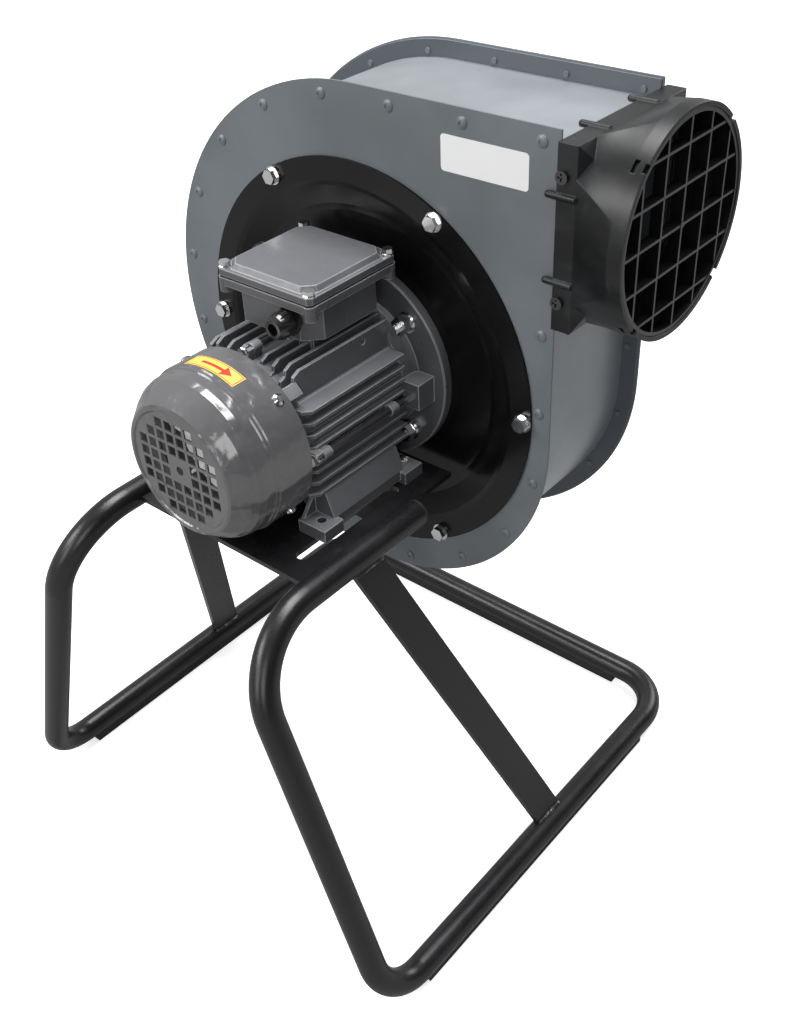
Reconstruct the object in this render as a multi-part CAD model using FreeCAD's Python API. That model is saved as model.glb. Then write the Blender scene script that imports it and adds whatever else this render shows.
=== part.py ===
"""Centrifugal extraction fan with an electric motor on a bent tube stand.

Millimetres, +Z up.  The parts are drawn with the motor axis along Y through
x = 0, z = 0 and the motor side of the housing at y = 0, then moved together
so that the origin is at the middle of the floor under the fan.
"""
import FreeCAD, Part
import math
import os

Vector = FreeCAD.Vector
ALONG_Y = Vector(0, 1, 0)
FULL_TURN = 360.0

# Gaps between neighbouring parts
SLIDE_GAP = 0.3
SEAT_GAP = 0.05
PRESS_GAP = 0.02

# Scroll housing; the margins reach past the cover's edge
HOUSING_WIDTH = 121.0
SIDE_SHEET = 1.5
WRAP_SHEET = 1.2
PLATE_TOP_MARGIN = 53.0
PLATE_BOTTOM_MARGIN = 30.0
PLATE_RIGHT_MARGIN = 14.5
SCROLL_OFFSET = 3.1
WRAP_INSET = 14.0
WRAP_LIP = 12.5
RIVET_INSET = 9.5
RIVET_COUNT = 19
RIVET_START_INSET = 13.5
RIVET_HEAD_RADIUS = 4.4
RIVET_HEAD_HEIGHT = 1.9
RIVET_SHANK_RADIUS = 1.6
OUTLET_HEIGHT = 110.8
CUTOFF_NOSE_RADIUS = 9.0
CUTOFF_NOSE_INSET = 33.5
LABEL_WIDTH = 69.0
LABEL_HEIGHT = 24.4
LABEL_SHEET = 0.3
LABEL_RIGHT_INSET = 22.5
LABEL_TOP_INSET = 19.0

# Dished motor cover
COVER_SHEET = 2.0
COVER_IMPELLER_GAP = 19.0
COVER_RIM_WIDTH = 15.0
COVER_BOLT_INSET = 6.4
COVER_DISH_DEPTH = 11.0
DISH_EDGE_GAP = 2.0
DISH_SLOPE_WIDTH = 25.0
COVER_BOLT_COUNT = 6

# Inlet
INLET_SPIGOT_RADIUS = 77.5
INLET_SPIGOT_LENGTH = 42.0
INLET_FLANGE_RADIUS = 98.0
INLET_SCREW_CIRCLE = 89.0
INLET_SCREW_COUNT = 8
INLET_SHEET = 1.5
NOZZLE_THROAT_RADIUS = 66.0

# Outlet adapter and grille
ADAPTER_SIDE_LAP = 3.5
ADAPTER_TOP_LAP = 9.2
ADAPTER_BOTTOM_LAP = 4.0
ADAPTER_BASE_DEPTH = 14.0
ADAPTER_BLEND_DEPTH = 30.5
ADAPTER_SPIGOT_RADIUS = 75.5
ADAPTER_SPIGOT_LENGTH = 10.0
ADAPTER_WALL = 3.2
CORNER_CUT = 20.8
GUSSET_DEPTH = 6.0
ADAPTER_RIB_SPACING = 57.0
ADAPTER_RIB_RADIUS = 2.4
ADAPTER_RIB_SINK = 0.4
ADAPTER_RIB_REACH = 6.0
ADAPTER_SCREW_SPACING = 83.0
CLIP_WINDOW_LENGTH = 3.5
CLIP_WINDOW_WIDTH = 8.5
CLIP_WINDOW_INSET = 6.2
GRILLE_PITCH = 26.4
GRILLE_BAR_WIDTH = 1.9
GRILLE_DEPTH = 9.6
GRILLE_RIM = 2.6

# Motor, to the usual 71 frame foot and flange sizes
SHAFT_HEIGHT = 71.0
FOOT_HOLE_SPREAD = 112.0
FOOT_HOLE_PITCH = 90.0
FOOT_HOLE_RADIUS = 3.5
FOOT_PAD_LENGTH = 20.0
FOOT_PAD_WIDTH = 26.0
FOOT_PAD_INBOARD = 14.0
FOOT_PAD_THICKNESS = 10.0
REAR_FOOT_HOLE_Y = -24.0
FLANGE_RADIUS = 80.0
FLANGE_THICKNESS = 8.0
FLANGE_SPIGOT_RADIUS = 55.0
FLANGE_SPIGOT_HEIGHT = 3.5
FLANGE_STUD_CIRCLE = 65.0
FLANGE_STUD_RADIUS = 4.0
BARREL_RADIUS = 52.0
BARREL_WALL = 4.0
BARREL_FRONT_Y = -112.0
BARREL_REAR_Y = -14.0
FIN_THICKNESS = 2.4
SIDE_FIN_TIP = 56.5
SIDE_FIN_PITCH = 9.8
SIDE_FIN_COUNT = 8
TOP_FIN_TIP = 57.0
TOP_FIN_PITCH = 11.0
TOP_FINS_PER_SIDE = 3
CORNER_FIN_X = 40.0
CORNER_FIN_TIP = 54.0
FIN_OVERHANG = 7.0
TIE_BOLT_RADIUS = 2.4
TIE_BOLT_REACH = 59.5
TIE_BOSS_RADIUS = 4.3
TIE_BOSS_LENGTH = 8.0
EAR_LENGTH = 18.0
STACK_LENGTH = 60.0
ROTOR_RADIUS = 26.0
SHAFT_END_RADIUS = 7.0
SHAFT_END_LENGTH = 30.0
BEARING_BORE_RADIUS = 7.5
BEARING_OUTER_RADIUS = 17.5
BEARING_WIDTH = 11.0
BALL_RADIUS = 2.6
BALL_COUNT = 7
KEY_WIDTH = 5.0
KEY_HEIGHT = 5.0
KEY_LENGTH = 20.0

# Fan cowl and cooling fan
COWL_RADIUS = 64.2
COWL_SHEET = 1.2
COWL_REAR_Y = -125.5
COWL_BEAD_Y = -158.0
COWL_SHOULDER_Y = -167.5
COWL_END_Y = -189.3
COWL_DISC_RADIUS = 48.7
GRID_PITCH = 9.7
GRID_HOLE = 7.2
COWL_SCREW_Y = -133.0
COOLING_FAN_RADIUS = 52.0
COOLING_FAN_REACH = 46.0
COOLING_DISC_RADIUS = 26.0
COOLING_BLADE_SHEET = 1.8
COOLING_BLADE_COUNT = 8
STICKER_WIDTH = 12.8
STICKER_SHEET = 0.25
STICKER_ANGLE = 42.0
STICKER_START = 66.0

# Terminal box
BOX_HALF_WIDTH = 39.0
BOX_CENTRE_Y = -50.6
BOX_FLOOR_Z = 64.0
BOX_RIM_Z = 89.5
BOX_TOP_Z = 95.5
BOX_WALL = 3.0
BOX_CORNER_CUT = 12.0
LID_HALF_WIDTH = 44.5
LID_THICKNESS = 5.0
LID_RAISE = 4.0
LID_RAISED_HALF = 41.0
GASKET_THICKNESS = 1.5
LID_SCREW_SPREAD = 80.2
GLAND_RADIUS = 9.5
GLAND_NECK_RADIUS = 7.6
FRONT_GLAND_LENGTH = 19.0
SIDE_GLAND_LENGTH = 38.0
GLAND_Z = 79.0
FRONT_GLAND_X = 21.0
SIDE_GLAND_Y = -26.0

# Impeller
IMPELLER_RADIUS = 124.0
IMPELLER_EYE_RADIUS = 70.0
IMPELLER_BACK_Y = 24.0
BLADE_TIP_WIDTH = 42.0
BLADE_ROOT_WIDTH = 60.0
BLADE_COUNT = 10
BLADE_SHEET = 1.6
BLADE_ARC_RADIUS = 78.0
BLADE_INNER_RADIUS = 66.0
HUB_RADIUS = 17.0

# Stand
TUBE_RADIUS = 10.5
TUBE_WALL = 1.5
TOP_TUBE_X = 94.6
FLOOR_TUBE_X = 203.0
TUBE_FRONT_Y = -236.0
TOP_TUBE_END_Y = -55.0
REAR_TUBE_Y = 177.0
FLOOR_TUBE_DROP = 303.0
TOP_BEND_RADIUS = 62.0
FRONT_BEND_RADIUS = 38.0
REAR_BEND_RADIUS = 45.0
MOTOR_PLATE_SHEET = 4.0
MOTOR_PLATE_FRONT_Y = -166.0
SLOT_WIDTH = 11.0
SLOT_CENTRE_X = 63.7
SLOT_FRONT_Y = -148.0
SLOT_REAR_Y = -40.0
BRACE_WIDTH = 30.0
BRACE_THICKNESS = 5.0
BRACE_TOP_Y = -118.0
BRACE_FLOOR_Y = -17.0
STRIP_HEIGHT = 6.0
STRIP_WIDTH = 14.0

# Sizes that follow from the ones above
REAR_PLATE_Y = HOUSING_WIDTH - SIDE_SHEET
MIDDLE_Y = HOUSING_WIDTH / 2.0
COVER_HOLE_RADIUS = IMPELLER_RADIUS + COVER_IMPELLER_GAP
COVER_RADIUS = COVER_HOLE_RADIUS + COVER_RIM_WIDTH
COVER_BOLT_CIRCLE = COVER_RADIUS - COVER_BOLT_INSET
DISH_OUTER_RADIUS = COVER_HOLE_RADIUS - DISH_EDGE_GAP
DISH_FLOOR_RADIUS = DISH_OUTER_RADIUS - DISH_SLOPE_WIDTH
PLATE_TOP = COVER_RADIUS + PLATE_TOP_MARGIN
PLATE_RIGHT = COVER_RADIUS + PLATE_RIGHT_MARGIN
LARGE_ARC_RADIUS = COVER_RADIUS + (PLATE_TOP_MARGIN + PLATE_BOTTOM_MARGIN) / 2.0
SMALL_ARC_RADIUS = PLATE_RIGHT - SCROLL_OFFSET
LARGE_ARC_Z = PLATE_TOP - LARGE_ARC_RADIUS
ARC_CENTRE_X = SCROLL_OFFSET
SMALL_ARC_Z = LARGE_ARC_Z - LARGE_ARC_RADIUS + SMALL_ARC_RADIUS
RIVET_START_X = PLATE_RIGHT - RIVET_START_INSET
OUTLET_CEILING_HEIGHT = PLATE_TOP - WRAP_INSET - WRAP_SHEET
OUTLET_FLOOR_HEIGHT = OUTLET_CEILING_HEIGHT - OUTLET_HEIGHT
CUTOFF_NOSE_X = PLATE_RIGHT - CUTOFF_NOSE_INSET
ADAPTER_WIDTH = HOUSING_WIDTH + 2.0 * ADAPTER_SIDE_LAP
ADAPTER_HEIGHT = OUTLET_HEIGHT + ADAPTER_TOP_LAP + ADAPTER_BOTTOM_LAP
ADAPTER_CENTRE_Z = OUTLET_FLOOR_HEIGHT - ADAPTER_BOTTOM_LAP + ADAPTER_HEIGHT / 2.0
FLANGE_FACE_Y = COVER_DISH_DEPTH - COVER_SHEET
FLANGE_FRONT_Y = FLANGE_FACE_Y - FLANGE_THICKNESS
FRONT_FOOT_HOLE_Y = REAR_FOOT_HOLE_Y - FOOT_HOLE_PITCH
PLATE_TUBE_Z = -SHAFT_HEIGHT - MOTOR_PLATE_SHEET / 2.0
FLOOR_TUBE_Z = PLATE_TUBE_Z - FLOOR_TUBE_DROP
FLOOR_Z = FLOOR_TUBE_Z - TUBE_RADIUS - STRIP_HEIGHT
STATOR_RADIUS = BARREL_RADIUS - BARREL_WALL
STACK_CENTRE_Y = (BARREL_FRONT_Y + BARREL_REAR_Y) / 2.0
STACK_FRONT_Y = STACK_CENTRE_Y - STACK_LENGTH / 2.0
STACK_REAR_Y = STACK_CENTRE_Y + STACK_LENGTH / 2.0
DRIVE_BEARING_Y = FLANGE_FRONT_Y - 8.0
FAN_BEARING_Y = BARREL_FRONT_Y - BEARING_WIDTH
ADAPTER_REAR_X = PLATE_RIGHT
ADAPTER_BASE_X = ADAPTER_REAR_X + ADAPTER_BASE_DEPTH
ADAPTER_ROUND_X = ADAPTER_BASE_X + ADAPTER_BLEND_DEPTH
ADAPTER_RIM_X = ADAPTER_ROUND_X + ADAPTER_SPIGOT_LENGTH
BALL_PITCH_RADIUS = (BEARING_BORE_RADIUS + BEARING_OUTER_RADIUS) / 2.0
INLET_FACE_Y = HOUSING_WIDTH + INLET_SHEET
COWL_INNER_RADIUS = COWL_RADIUS - COWL_SHEET


def block(x0, x1, y0, y1, z0, z1):
    """A box between two corners."""
    return Part.makeBox(x1 - x0, y1 - y0, z1 - z0, Vector(x0, y0, z0))


def rod_y(radius, y0, y1, x=0.0, z=0.0):
    """A round bar along Y."""
    return Part.makeCylinder(radius, y1 - y0, Vector(x, y0, z), ALONG_Y)


def rod_x(radius, x0, x1, y, z):
    """A round bar along X."""
    return Part.makeCylinder(radius, x1 - x0, Vector(x0, y, z), Vector(1, 0, 0))


def rod_z(radius, z0, z1, x, y):
    """A round bar along Z."""
    return Part.makeCylinder(radius, z1 - z0, Vector(x, y, z0))


def tube_y(outer, inner, y0, y1):
    """A round sleeve along Y about the motor axis."""
    return rod_y(outer, y0, y1).cut(rod_y(inner, y0 - 1.0, y1 + 1.0))


def turned(profile):
    """A solid turned about the motor axis from (radius, y) points."""
    points = [Vector(radius, y, 0) for radius, y in profile]
    face = Part.Face(Part.makePolygon(points + points[:1]))
    return face.revolve(Vector(0, 0, 0), ALONG_Y, FULL_TURN)


def plate_xz(points, y0, y1):
    """A flat piece with its (x, z) outline, between two values of y."""
    corners = [Vector(x, y0, z) for x, z in points]
    face = Part.Face(Part.makePolygon(corners + corners[:1]))
    return face.extrude(Vector(0, y1 - y0, 0))


def plate_yz(points, x0, x1):
    """A flat piece with its (y, z) outline, between two values of x."""
    corners = [Vector(x0, y, z) for y, z in points]
    face = Part.Face(Part.makePolygon(corners + corners[:1]))
    return face.extrude(Vector(x1 - x0, 0, 0))


def plate_xy(points, z0, z1):
    """A flat piece with its (x, y) outline, between two values of z."""
    corners = [Vector(x, y, z0) for x, y in points]
    face = Part.Face(Part.makePolygon(corners + corners[:1]))
    return face.extrude(Vector(0, 0, z1 - z0))


def hexagon_y(across_flats, y0, y1, x=0.0, z=0.0):
    """A hexagonal bar along Y."""
    radius = across_flats / math.sqrt(3.0)
    points = []
    for corner in range(6):
        angle = math.radians(60.0 * corner)
        points.append((x + radius * math.cos(angle), z + radius * math.sin(angle)))
    return plate_xz(points, y0, y1)


def turned_copies(shape, count, start=0.0, step=None):
    """Copies of a shape spaced round the motor axis."""
    angle_step = FULL_TURN / count if step is None else step
    copies = []
    for index in range(count):
        copy = shape.copy()
        copy.rotate(Vector(0, 0, 0), ALONG_Y, -(start + index * angle_step))
        copies.append(copy)
    return copies


def group(shapes):
    """Separate solids kept together as one part."""
    return Part.makeCompound(shapes)


def scroll_outline(inset, y):
    """The closed scroll outline, set in from the side plate's edge."""
    large = LARGE_ARC_RADIUS - inset
    small = SMALL_ARC_RADIUS - inset
    top = Vector(ARC_CENTRE_X, y, PLATE_TOP - inset)
    left = Vector(ARC_CENTRE_X - large, y, LARGE_ARC_Z)
    bottom = Vector(ARC_CENTRE_X, y, LARGE_ARC_Z - large)
    slant = small * math.sqrt(0.5)
    lower_right = Vector(ARC_CENTRE_X + slant, y, SMALL_ARC_Z - slant)
    right = Vector(ARC_CENTRE_X + small, y, SMALL_ARC_Z)
    corner = Vector(PLATE_RIGHT - inset, y, PLATE_TOP - inset)
    edges = [
        Part.Arc(top, left, bottom).toShape(),
        Part.Arc(bottom, lower_right, right).toShape(),
        Part.makeLine(right, corner),
        Part.makeLine(corner, top),
    ]
    return Part.Wire(edges)


def scroll_solid(inset, y0, y1):
    """A solid filling the scroll outline between two values of y."""
    return Part.Face(scroll_outline(inset, y0)).extrude(Vector(0, y1 - y0, 0))


def rivet_places():
    """Rivet centres walked round the scroll from its top right corner."""
    large = LARGE_ARC_RADIUS - RIVET_INSET
    small = SMALL_ARC_RADIUS - RIVET_INSET
    top_run = RIVET_START_X - ARC_CENTRE_X
    large_run = math.pi * large
    small_run = math.pi / 2.0 * small
    side_run = ADAPTER_CENTRE_Z - ADAPTER_HEIGHT / 2.0 - RIVET_INSET - SMALL_ARC_Z
    spacing = (top_run + large_run + small_run + side_run) / (RIVET_COUNT - 1)
    places = []
    for index in range(RIVET_COUNT):
        run = index * spacing
        if run <= top_run:
            places.append((RIVET_START_X - run, PLATE_TOP - RIVET_INSET))
        elif run <= top_run + large_run:
            angle = math.pi / 2.0 + (run - top_run) / large
            x = ARC_CENTRE_X + large * math.cos(angle)
            places.append((x, LARGE_ARC_Z + large * math.sin(angle)))
        elif run <= top_run + large_run + small_run:
            angle = 1.5 * math.pi + (run - top_run - large_run) / small
            x = ARC_CENTRE_X + small * math.cos(angle)
            places.append((x, SMALL_ARC_Z + small * math.sin(angle)))
        else:
            rise = run - top_run - large_run - small_run
            places.append((PLATE_RIGHT - RIVET_INSET, SMALL_ARC_Z + rise))
    return places


def ring_of_holes(radius, circle, count, y0, y1, start=0.0):
    """Round cutters spaced on a circle about the motor axis."""
    return turned_copies(rod_y(radius, y0, y1, circle, 0.0), count, start)


def side_plate(y0, hole_radius, screw_cutters):
    """One flat scroll-shaped side of the housing."""
    plate = scroll_solid(0.0, y0, y0 + SIDE_SHEET)
    cutters = [rod_y(hole_radius, y0 - 1.0, y0 + SIDE_SHEET + 1.0)]
    for x, z in rivet_places():
        radius = RIVET_SHANK_RADIUS + SEAT_GAP
        cutters.append(rod_y(radius, y0 - 1.0, y0 + SIDE_SHEET + 1.0, x, z))
    return plate.cut(cutters + screw_cutters)


def front_side_plate():
    """The motor side of the housing with the large opening for the cover."""
    holes = ring_of_holes(3.2, COVER_BOLT_CIRCLE, COVER_BOLT_COUNT, -1.0, SIDE_SHEET + 1.0)
    return side_plate(0.0, COVER_HOLE_RADIUS, holes)


def rear_side_plate():
    """The inlet side of the housing."""
    holes = ring_of_holes(2.2, INLET_SCREW_CIRCLE, INLET_SCREW_COUNT, REAR_PLATE_Y - 1.0, HOUSING_WIDTH + 1.0)
    return side_plate(REAR_PLATE_Y, INLET_SPIGOT_RADIUS - INLET_SHEET, holes)


def wrap_band(inset, thickness, y0, y1):
    """A strip of sheet that follows the scroll and is open at the outlet."""
    band = scroll_solid(inset, y0, y1).cut(scroll_solid(inset + thickness, y0 - 1.0, y1 + 1.0))
    outlet = block(
        PLATE_RIGHT - inset - thickness - 1.0,
        PLATE_RIGHT + 1.0,
        y0 - 1.0,
        y1 + 1.0,
        OUTLET_FLOOR_HEIGHT,
        PLATE_TOP - inset - thickness,
    )
    return band.cut(outlet)


def scroll_wrap():
    """The bent sheet between the side plates, with its out-turned lips."""
    y0 = SIDE_SHEET
    y1 = REAR_PLATE_Y
    skin = wrap_band(WRAP_INSET, WRAP_SHEET, y0, y1)
    reach = PLATE_RIGHT - WRAP_INSET
    roof = block(
        reach - WRAP_SHEET,
        PLATE_RIGHT,
        y0,
        y1,
        PLATE_TOP - WRAP_INSET - WRAP_SHEET,
        PLATE_TOP - WRAP_INSET,
    )
    sill = block(
        reach - WRAP_SHEET,
        PLATE_RIGHT,
        y0,
        y1,
        OUTLET_FLOOR_HEIGHT - WRAP_SHEET,
        OUTLET_FLOOR_HEIGHT,
    )
    lip_inset = WRAP_INSET - WRAP_LIP
    front_lip = wrap_band(lip_inset, WRAP_LIP + WRAP_SHEET / 2.0, y0, y0 + WRAP_SHEET)
    rear_lip = wrap_band(lip_inset, WRAP_LIP + WRAP_SHEET / 2.0, y1 - WRAP_SHEET, y1)
    holes = []
    for x, z in rivet_places():
        holes.append(rod_y(RIVET_SHANK_RADIUS + SEAT_GAP, y0 - 1.0, y1 + 1.0, x, z))
    return skin.fuse([roof, sill, front_lip, rear_lip]).removeSplitter().cut(holes)


def rivet(face_y, outward):
    """A dome rivet with its head on a side plate and its tail inside."""
    grip = SIDE_SHEET + WRAP_SHEET
    profile = [
        (0.0, 0.6 - RIVET_HEAD_HEIGHT),
        (RIVET_HEAD_RADIUS * 0.28, 0.6 - RIVET_HEAD_HEIGHT),
        (RIVET_HEAD_RADIUS * 0.32, -RIVET_HEAD_HEIGHT),
        (RIVET_HEAD_RADIUS * 0.6, -RIVET_HEAD_HEIGHT * 0.85),
        (RIVET_HEAD_RADIUS * 0.9, -RIVET_HEAD_HEIGHT * 0.45),
        (RIVET_HEAD_RADIUS, 0.0),
        (RIVET_SHANK_RADIUS, 0.0),
        (RIVET_SHANK_RADIUS, grip),
        (RIVET_SHANK_RADIUS * 1.5, grip),
        (RIVET_SHANK_RADIUS * 1.3, grip + 1.4),
        (0.0, grip + 1.4),
    ]
    solid = turned([(radius, face_y - outward * depth) for radius, depth in profile])
    return solid


def housing_rivets():
    """All the rivets that join the side plates to the wrap."""
    front = rivet(0.0, -1.0)
    rear = rivet(HOUSING_WIDTH, 1.0)
    solids = []
    for x, z in rivet_places():
        for pattern in (front, rear):
            copy = pattern.copy()
            copy.translate(Vector(x, 0, z))
            solids.append(copy)
    return group(solids)


def cutoff_tongue():
    """The bent sheet tongue that turns the air into the outlet."""
    y0 = SIDE_SHEET + SLIDE_GAP
    y1 = REAR_PLATE_Y - SLIDE_GAP
    wall_x = PLATE_RIGHT - WRAP_INSET - WRAP_SHEET
    top = OUTLET_FLOOR_HEIGHT - WRAP_SHEET
    nose = CUTOFF_NOSE_RADIUS
    outer = plate_xz(
        [
            (CUTOFF_NOSE_X, top),
            (wall_x, top),
            (wall_x, top - 5.0 * nose),
            (CUTOFF_NOSE_X - nose * 0.55, top - nose * 1.85),
        ],
        y0,
        y1,
    )
    outer = outer.fuse(rod_y(nose, y0, y1, CUTOFF_NOSE_X, top - nose)).removeSplitter()
    inner = plate_xz(
        [
            (CUTOFF_NOSE_X, top - WRAP_SHEET),
            (wall_x - WRAP_SHEET, top - WRAP_SHEET),
            (wall_x - WRAP_SHEET, top - 5.0 * nose + 2.0 * WRAP_SHEET),
            (CUTOFF_NOSE_X - nose * 0.5, top - nose * 1.7),
        ],
        y0 - 1.0,
        y1 + 1.0,
    )
    core = rod_y(nose - WRAP_SHEET, y0 - 1.0, y1 + 1.0, CUTOFF_NOSE_X, top - nose)
    return outer.cut([inner, core])


def motor_cover():
    """The dished round plate that carries the motor."""
    floor = COVER_DISH_DEPTH
    outside = [
        (FLANGE_SPIGOT_RADIUS + SEAT_GAP, floor - COVER_SHEET),
        (DISH_FLOOR_RADIUS, floor - COVER_SHEET),
        (DISH_FLOOR_RADIUS + 5.0, floor - COVER_SHEET - 1.6),
        (DISH_OUTER_RADIUS - 4.0, -0.6),
        (DISH_OUTER_RADIUS, -COVER_SHEET),
        (COVER_RADIUS, -COVER_SHEET),
    ]
    inside = [
        (COVER_RADIUS, 0.0),
        (DISH_OUTER_RADIUS + 0.6, 0.0),
        (DISH_OUTER_RADIUS - 3.0, 1.2),
        (DISH_FLOOR_RADIUS + 6.0, floor - 1.6),
        (DISH_FLOOR_RADIUS + 0.5, floor),
        (FLANGE_SPIGOT_RADIUS + SEAT_GAP, floor),
    ]
    holes = ring_of_holes(3.2, COVER_BOLT_CIRCLE, COVER_BOLT_COUNT, -COVER_SHEET - 1.0, 1.0)
    radius = FLANGE_STUD_RADIUS + SEAT_GAP
    holes += ring_of_holes(radius, FLANGE_STUD_CIRCLE, 4, floor - COVER_SHEET - 1.0, floor + 1.0, 45.0)
    return turned(outside + inside).cut(holes)


def cover_bolts():
    """Hexagon bolts with a flange that hold the cover."""
    under = -COVER_SHEET
    bolt = rod_y(7.0, under - 1.4, under).fuse(
        [hexagon_y(10.0, under - 6.2, under - 1.4), rod_y(3.0, under, SIDE_SHEET + 6.0)]
    )
    bolt = bolt.removeSplitter()
    bolt.translate(Vector(COVER_BOLT_CIRCLE, 0, 0))
    return group(turned_copies(bolt, COVER_BOLT_COUNT))


def cover_weld_nuts():
    """Nuts behind the front side plate that the cover bolts run into."""
    nut = hexagon_y(9.4, SIDE_SHEET, SIDE_SHEET + 5.0).cut(rod_y(3.0 + SEAT_GAP, 0.0, 12.0))
    nut.translate(Vector(COVER_BOLT_CIRCLE, 0, 0))
    return group(turned_copies(nut, COVER_BOLT_COUNT))


def inlet_ring():
    """The flanged round spigot that an intake duct slides over."""
    end = INLET_FACE_Y + INLET_SPIGOT_LENGTH
    root = INLET_SPIGOT_RADIUS
    ring = turned(
        [
            (root - INLET_SHEET, INLET_FACE_Y),
            (INLET_FLANGE_RADIUS, INLET_FACE_Y),
            (INLET_FLANGE_RADIUS, INLET_FACE_Y + INLET_SHEET),
            (root, INLET_FACE_Y + INLET_SHEET),
            (root, end),
            (root - INLET_SHEET, end),
        ]
    )
    cutters = ring_of_holes(2.2, INLET_SCREW_CIRCLE, INLET_SCREW_COUNT, HOUSING_WIDTH, end)
    return ring.cut(cutters)


def inlet_nozzle():
    """The bell that leads the air into the impeller."""
    throat = NOZZLE_THROAT_RADIUS
    mouth = INLET_SPIGOT_RADIUS - INLET_SHEET - 1.5
    tip_y = IMPELLER_BACK_Y + BLADE_ROOT_WIDTH + 6.0
    bell = turned(
        [
            (throat, tip_y),
            (throat + 0.2, tip_y + 7.0),
            (throat + 1.5, tip_y + 14.0),
            (throat + 4.0, tip_y + 21.0),
            (mouth, HOUSING_WIDTH),
            (INLET_FLANGE_RADIUS, HOUSING_WIDTH),
            (INLET_FLANGE_RADIUS, INLET_FACE_Y),
            (mouth - 1.5, INLET_FACE_Y),
            (throat + 2.6, tip_y + 22.0),
            (throat + 0.1, tip_y + 14.5),
            (throat - 1.2, tip_y + 7.0),
            (throat - 1.5, tip_y),
        ]
    )
    inside = HOUSING_WIDTH - 1.0
    holes = ring_of_holes(2.2, INLET_SCREW_CIRCLE, INLET_SCREW_COUNT, inside, INLET_FACE_Y + 1.0)
    return bell.cut(holes)


def inlet_screws():
    """Pan screws through the inlet flange."""
    head = INLET_FACE_Y + INLET_SHEET
    screw = rod_y(3.8, head, head + 2.4).fuse(rod_y(2.0, REAR_PLATE_Y - 4.0, head))
    screw = screw.cut(block(-0.6, 0.6, head + 1.2, head + 3.0, -2.4, 2.4))
    screw = screw.cut(block(-2.4, 2.4, head + 1.2, head + 3.0, -0.6, 0.6))
    screw.translate(Vector(INLET_SCREW_CIRCLE, 0, 0))
    return group(turned_copies(screw, INLET_SCREW_COUNT))


def outlet_collar():
    """The rectangular sheet sleeve in the outlet that carries the adapter."""
    y0 = SIDE_SHEET + SLIDE_GAP
    y1 = REAR_PLATE_Y - SLIDE_GAP
    z0 = OUTLET_FLOOR_HEIGHT + SLIDE_GAP
    z1 = OUTLET_CEILING_HEIGHT - SLIDE_GAP
    x0 = PLATE_RIGHT - 24.0
    x1 = ADAPTER_BASE_X - 2.0
    sleeve = block(x0, x1, y0, y1, z0, z1)
    wall = WRAP_SHEET
    sleeve = sleeve.cut(block(x0 - 1.0, x1 + 1.0, y0 + wall, y1 - wall, z0 + wall, z1 - wall))
    holes = []
    for z in adapter_screw_heights():
        holes.append(rod_y(1.9, y0 - 1.0, y1 + 1.0, adapter_screw_x(), z))
    return sleeve.cut(holes)


def adapter_screw_heights():
    """Heights of the screws in the adapter's sides."""
    half = ADAPTER_SCREW_SPACING / 2.0
    return [ADAPTER_CENTRE_Z - half, ADAPTER_CENTRE_Z + half]


def adapter_screw_x():
    """Distance of the adapter screws along the outlet."""
    return ADAPTER_REAR_X + 0.32 * ADAPTER_BASE_DEPTH


def octagon(x, half_width, half_height, cut):
    """A square outline with cut corners, facing the outlet."""
    corners = [
        (-half_width, half_height - cut),
        (-half_width + cut, half_height),
        (half_width - cut, half_height),
        (half_width, half_height - cut),
        (half_width, -half_height + cut),
        (half_width - cut, -half_height),
        (-half_width + cut, -half_height),
        (-half_width, -half_height + cut),
    ]
    points = [Vector(x, MIDDLE_Y + y, ADAPTER_CENTRE_Z + z) for y, z in corners]
    return Part.makePolygon(points + points[:1])


def eight_arcs(x, radius):
    """A circle facing the outlet, split where the octagon has its corners."""
    starts = [161.0, 109.0, 71.0, 19.0, -19.0, -71.0, -109.0, -161.0]

    def at(degrees):
        angle = math.radians(degrees)
        y = MIDDLE_Y + radius * math.cos(angle)
        return Vector(x, y, ADAPTER_CENTRE_Z + radius * math.sin(angle))

    arcs = []
    for index, start in enumerate(starts):
        end = starts[(index + 1) % len(starts)]
        if end > start:
            end -= FULL_TURN
        arcs.append(Part.Arc(at(start), at((start + end) / 2.0), at(end)).toShape())
    return Part.Wire(arcs)


def square_to_round(inset):
    """The blend from the square base to the round spigot."""
    half_width = ADAPTER_WIDTH / 2.0 - inset
    half_height = ADAPTER_HEIGHT / 2.0 - inset
    cut = CORNER_CUT - 0.6 * inset
    start = octagon(ADAPTER_BASE_X, half_width, half_height, cut)
    end = eight_arcs(ADAPTER_ROUND_X, ADAPTER_SPIGOT_RADIUS - inset)
    return Part.makeLoft([start, end], True, True)


def corner_gusset(side_y, side_z):
    """The sloped web that ties a base corner to the round body."""
    y = MIDDLE_Y + side_y * ADAPTER_WIDTH / 2.0
    z = ADAPTER_CENTRE_Z + side_z * ADAPTER_HEIGHT / 2.0
    corner = Vector(ADAPTER_BASE_X, y, z)
    along = Vector(ADAPTER_BASE_X, y, z - side_z * CORNER_CUT)
    across = Vector(ADAPTER_BASE_X, y - side_y * CORNER_CUT, z)
    reach = CORNER_CUT * 0.56
    tip = Vector(ADAPTER_BASE_X + GUSSET_DEPTH, y - side_y * reach, z - side_z * reach)
    faces = []
    for trio in ((corner, along, across), (corner, along, tip), (corner, across, tip), (along, across, tip)):
        faces.append(Part.Face(Part.makePolygon(list(trio) + [trio[0]])))
    return Part.makeSolid(Part.makeShell(faces))


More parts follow.
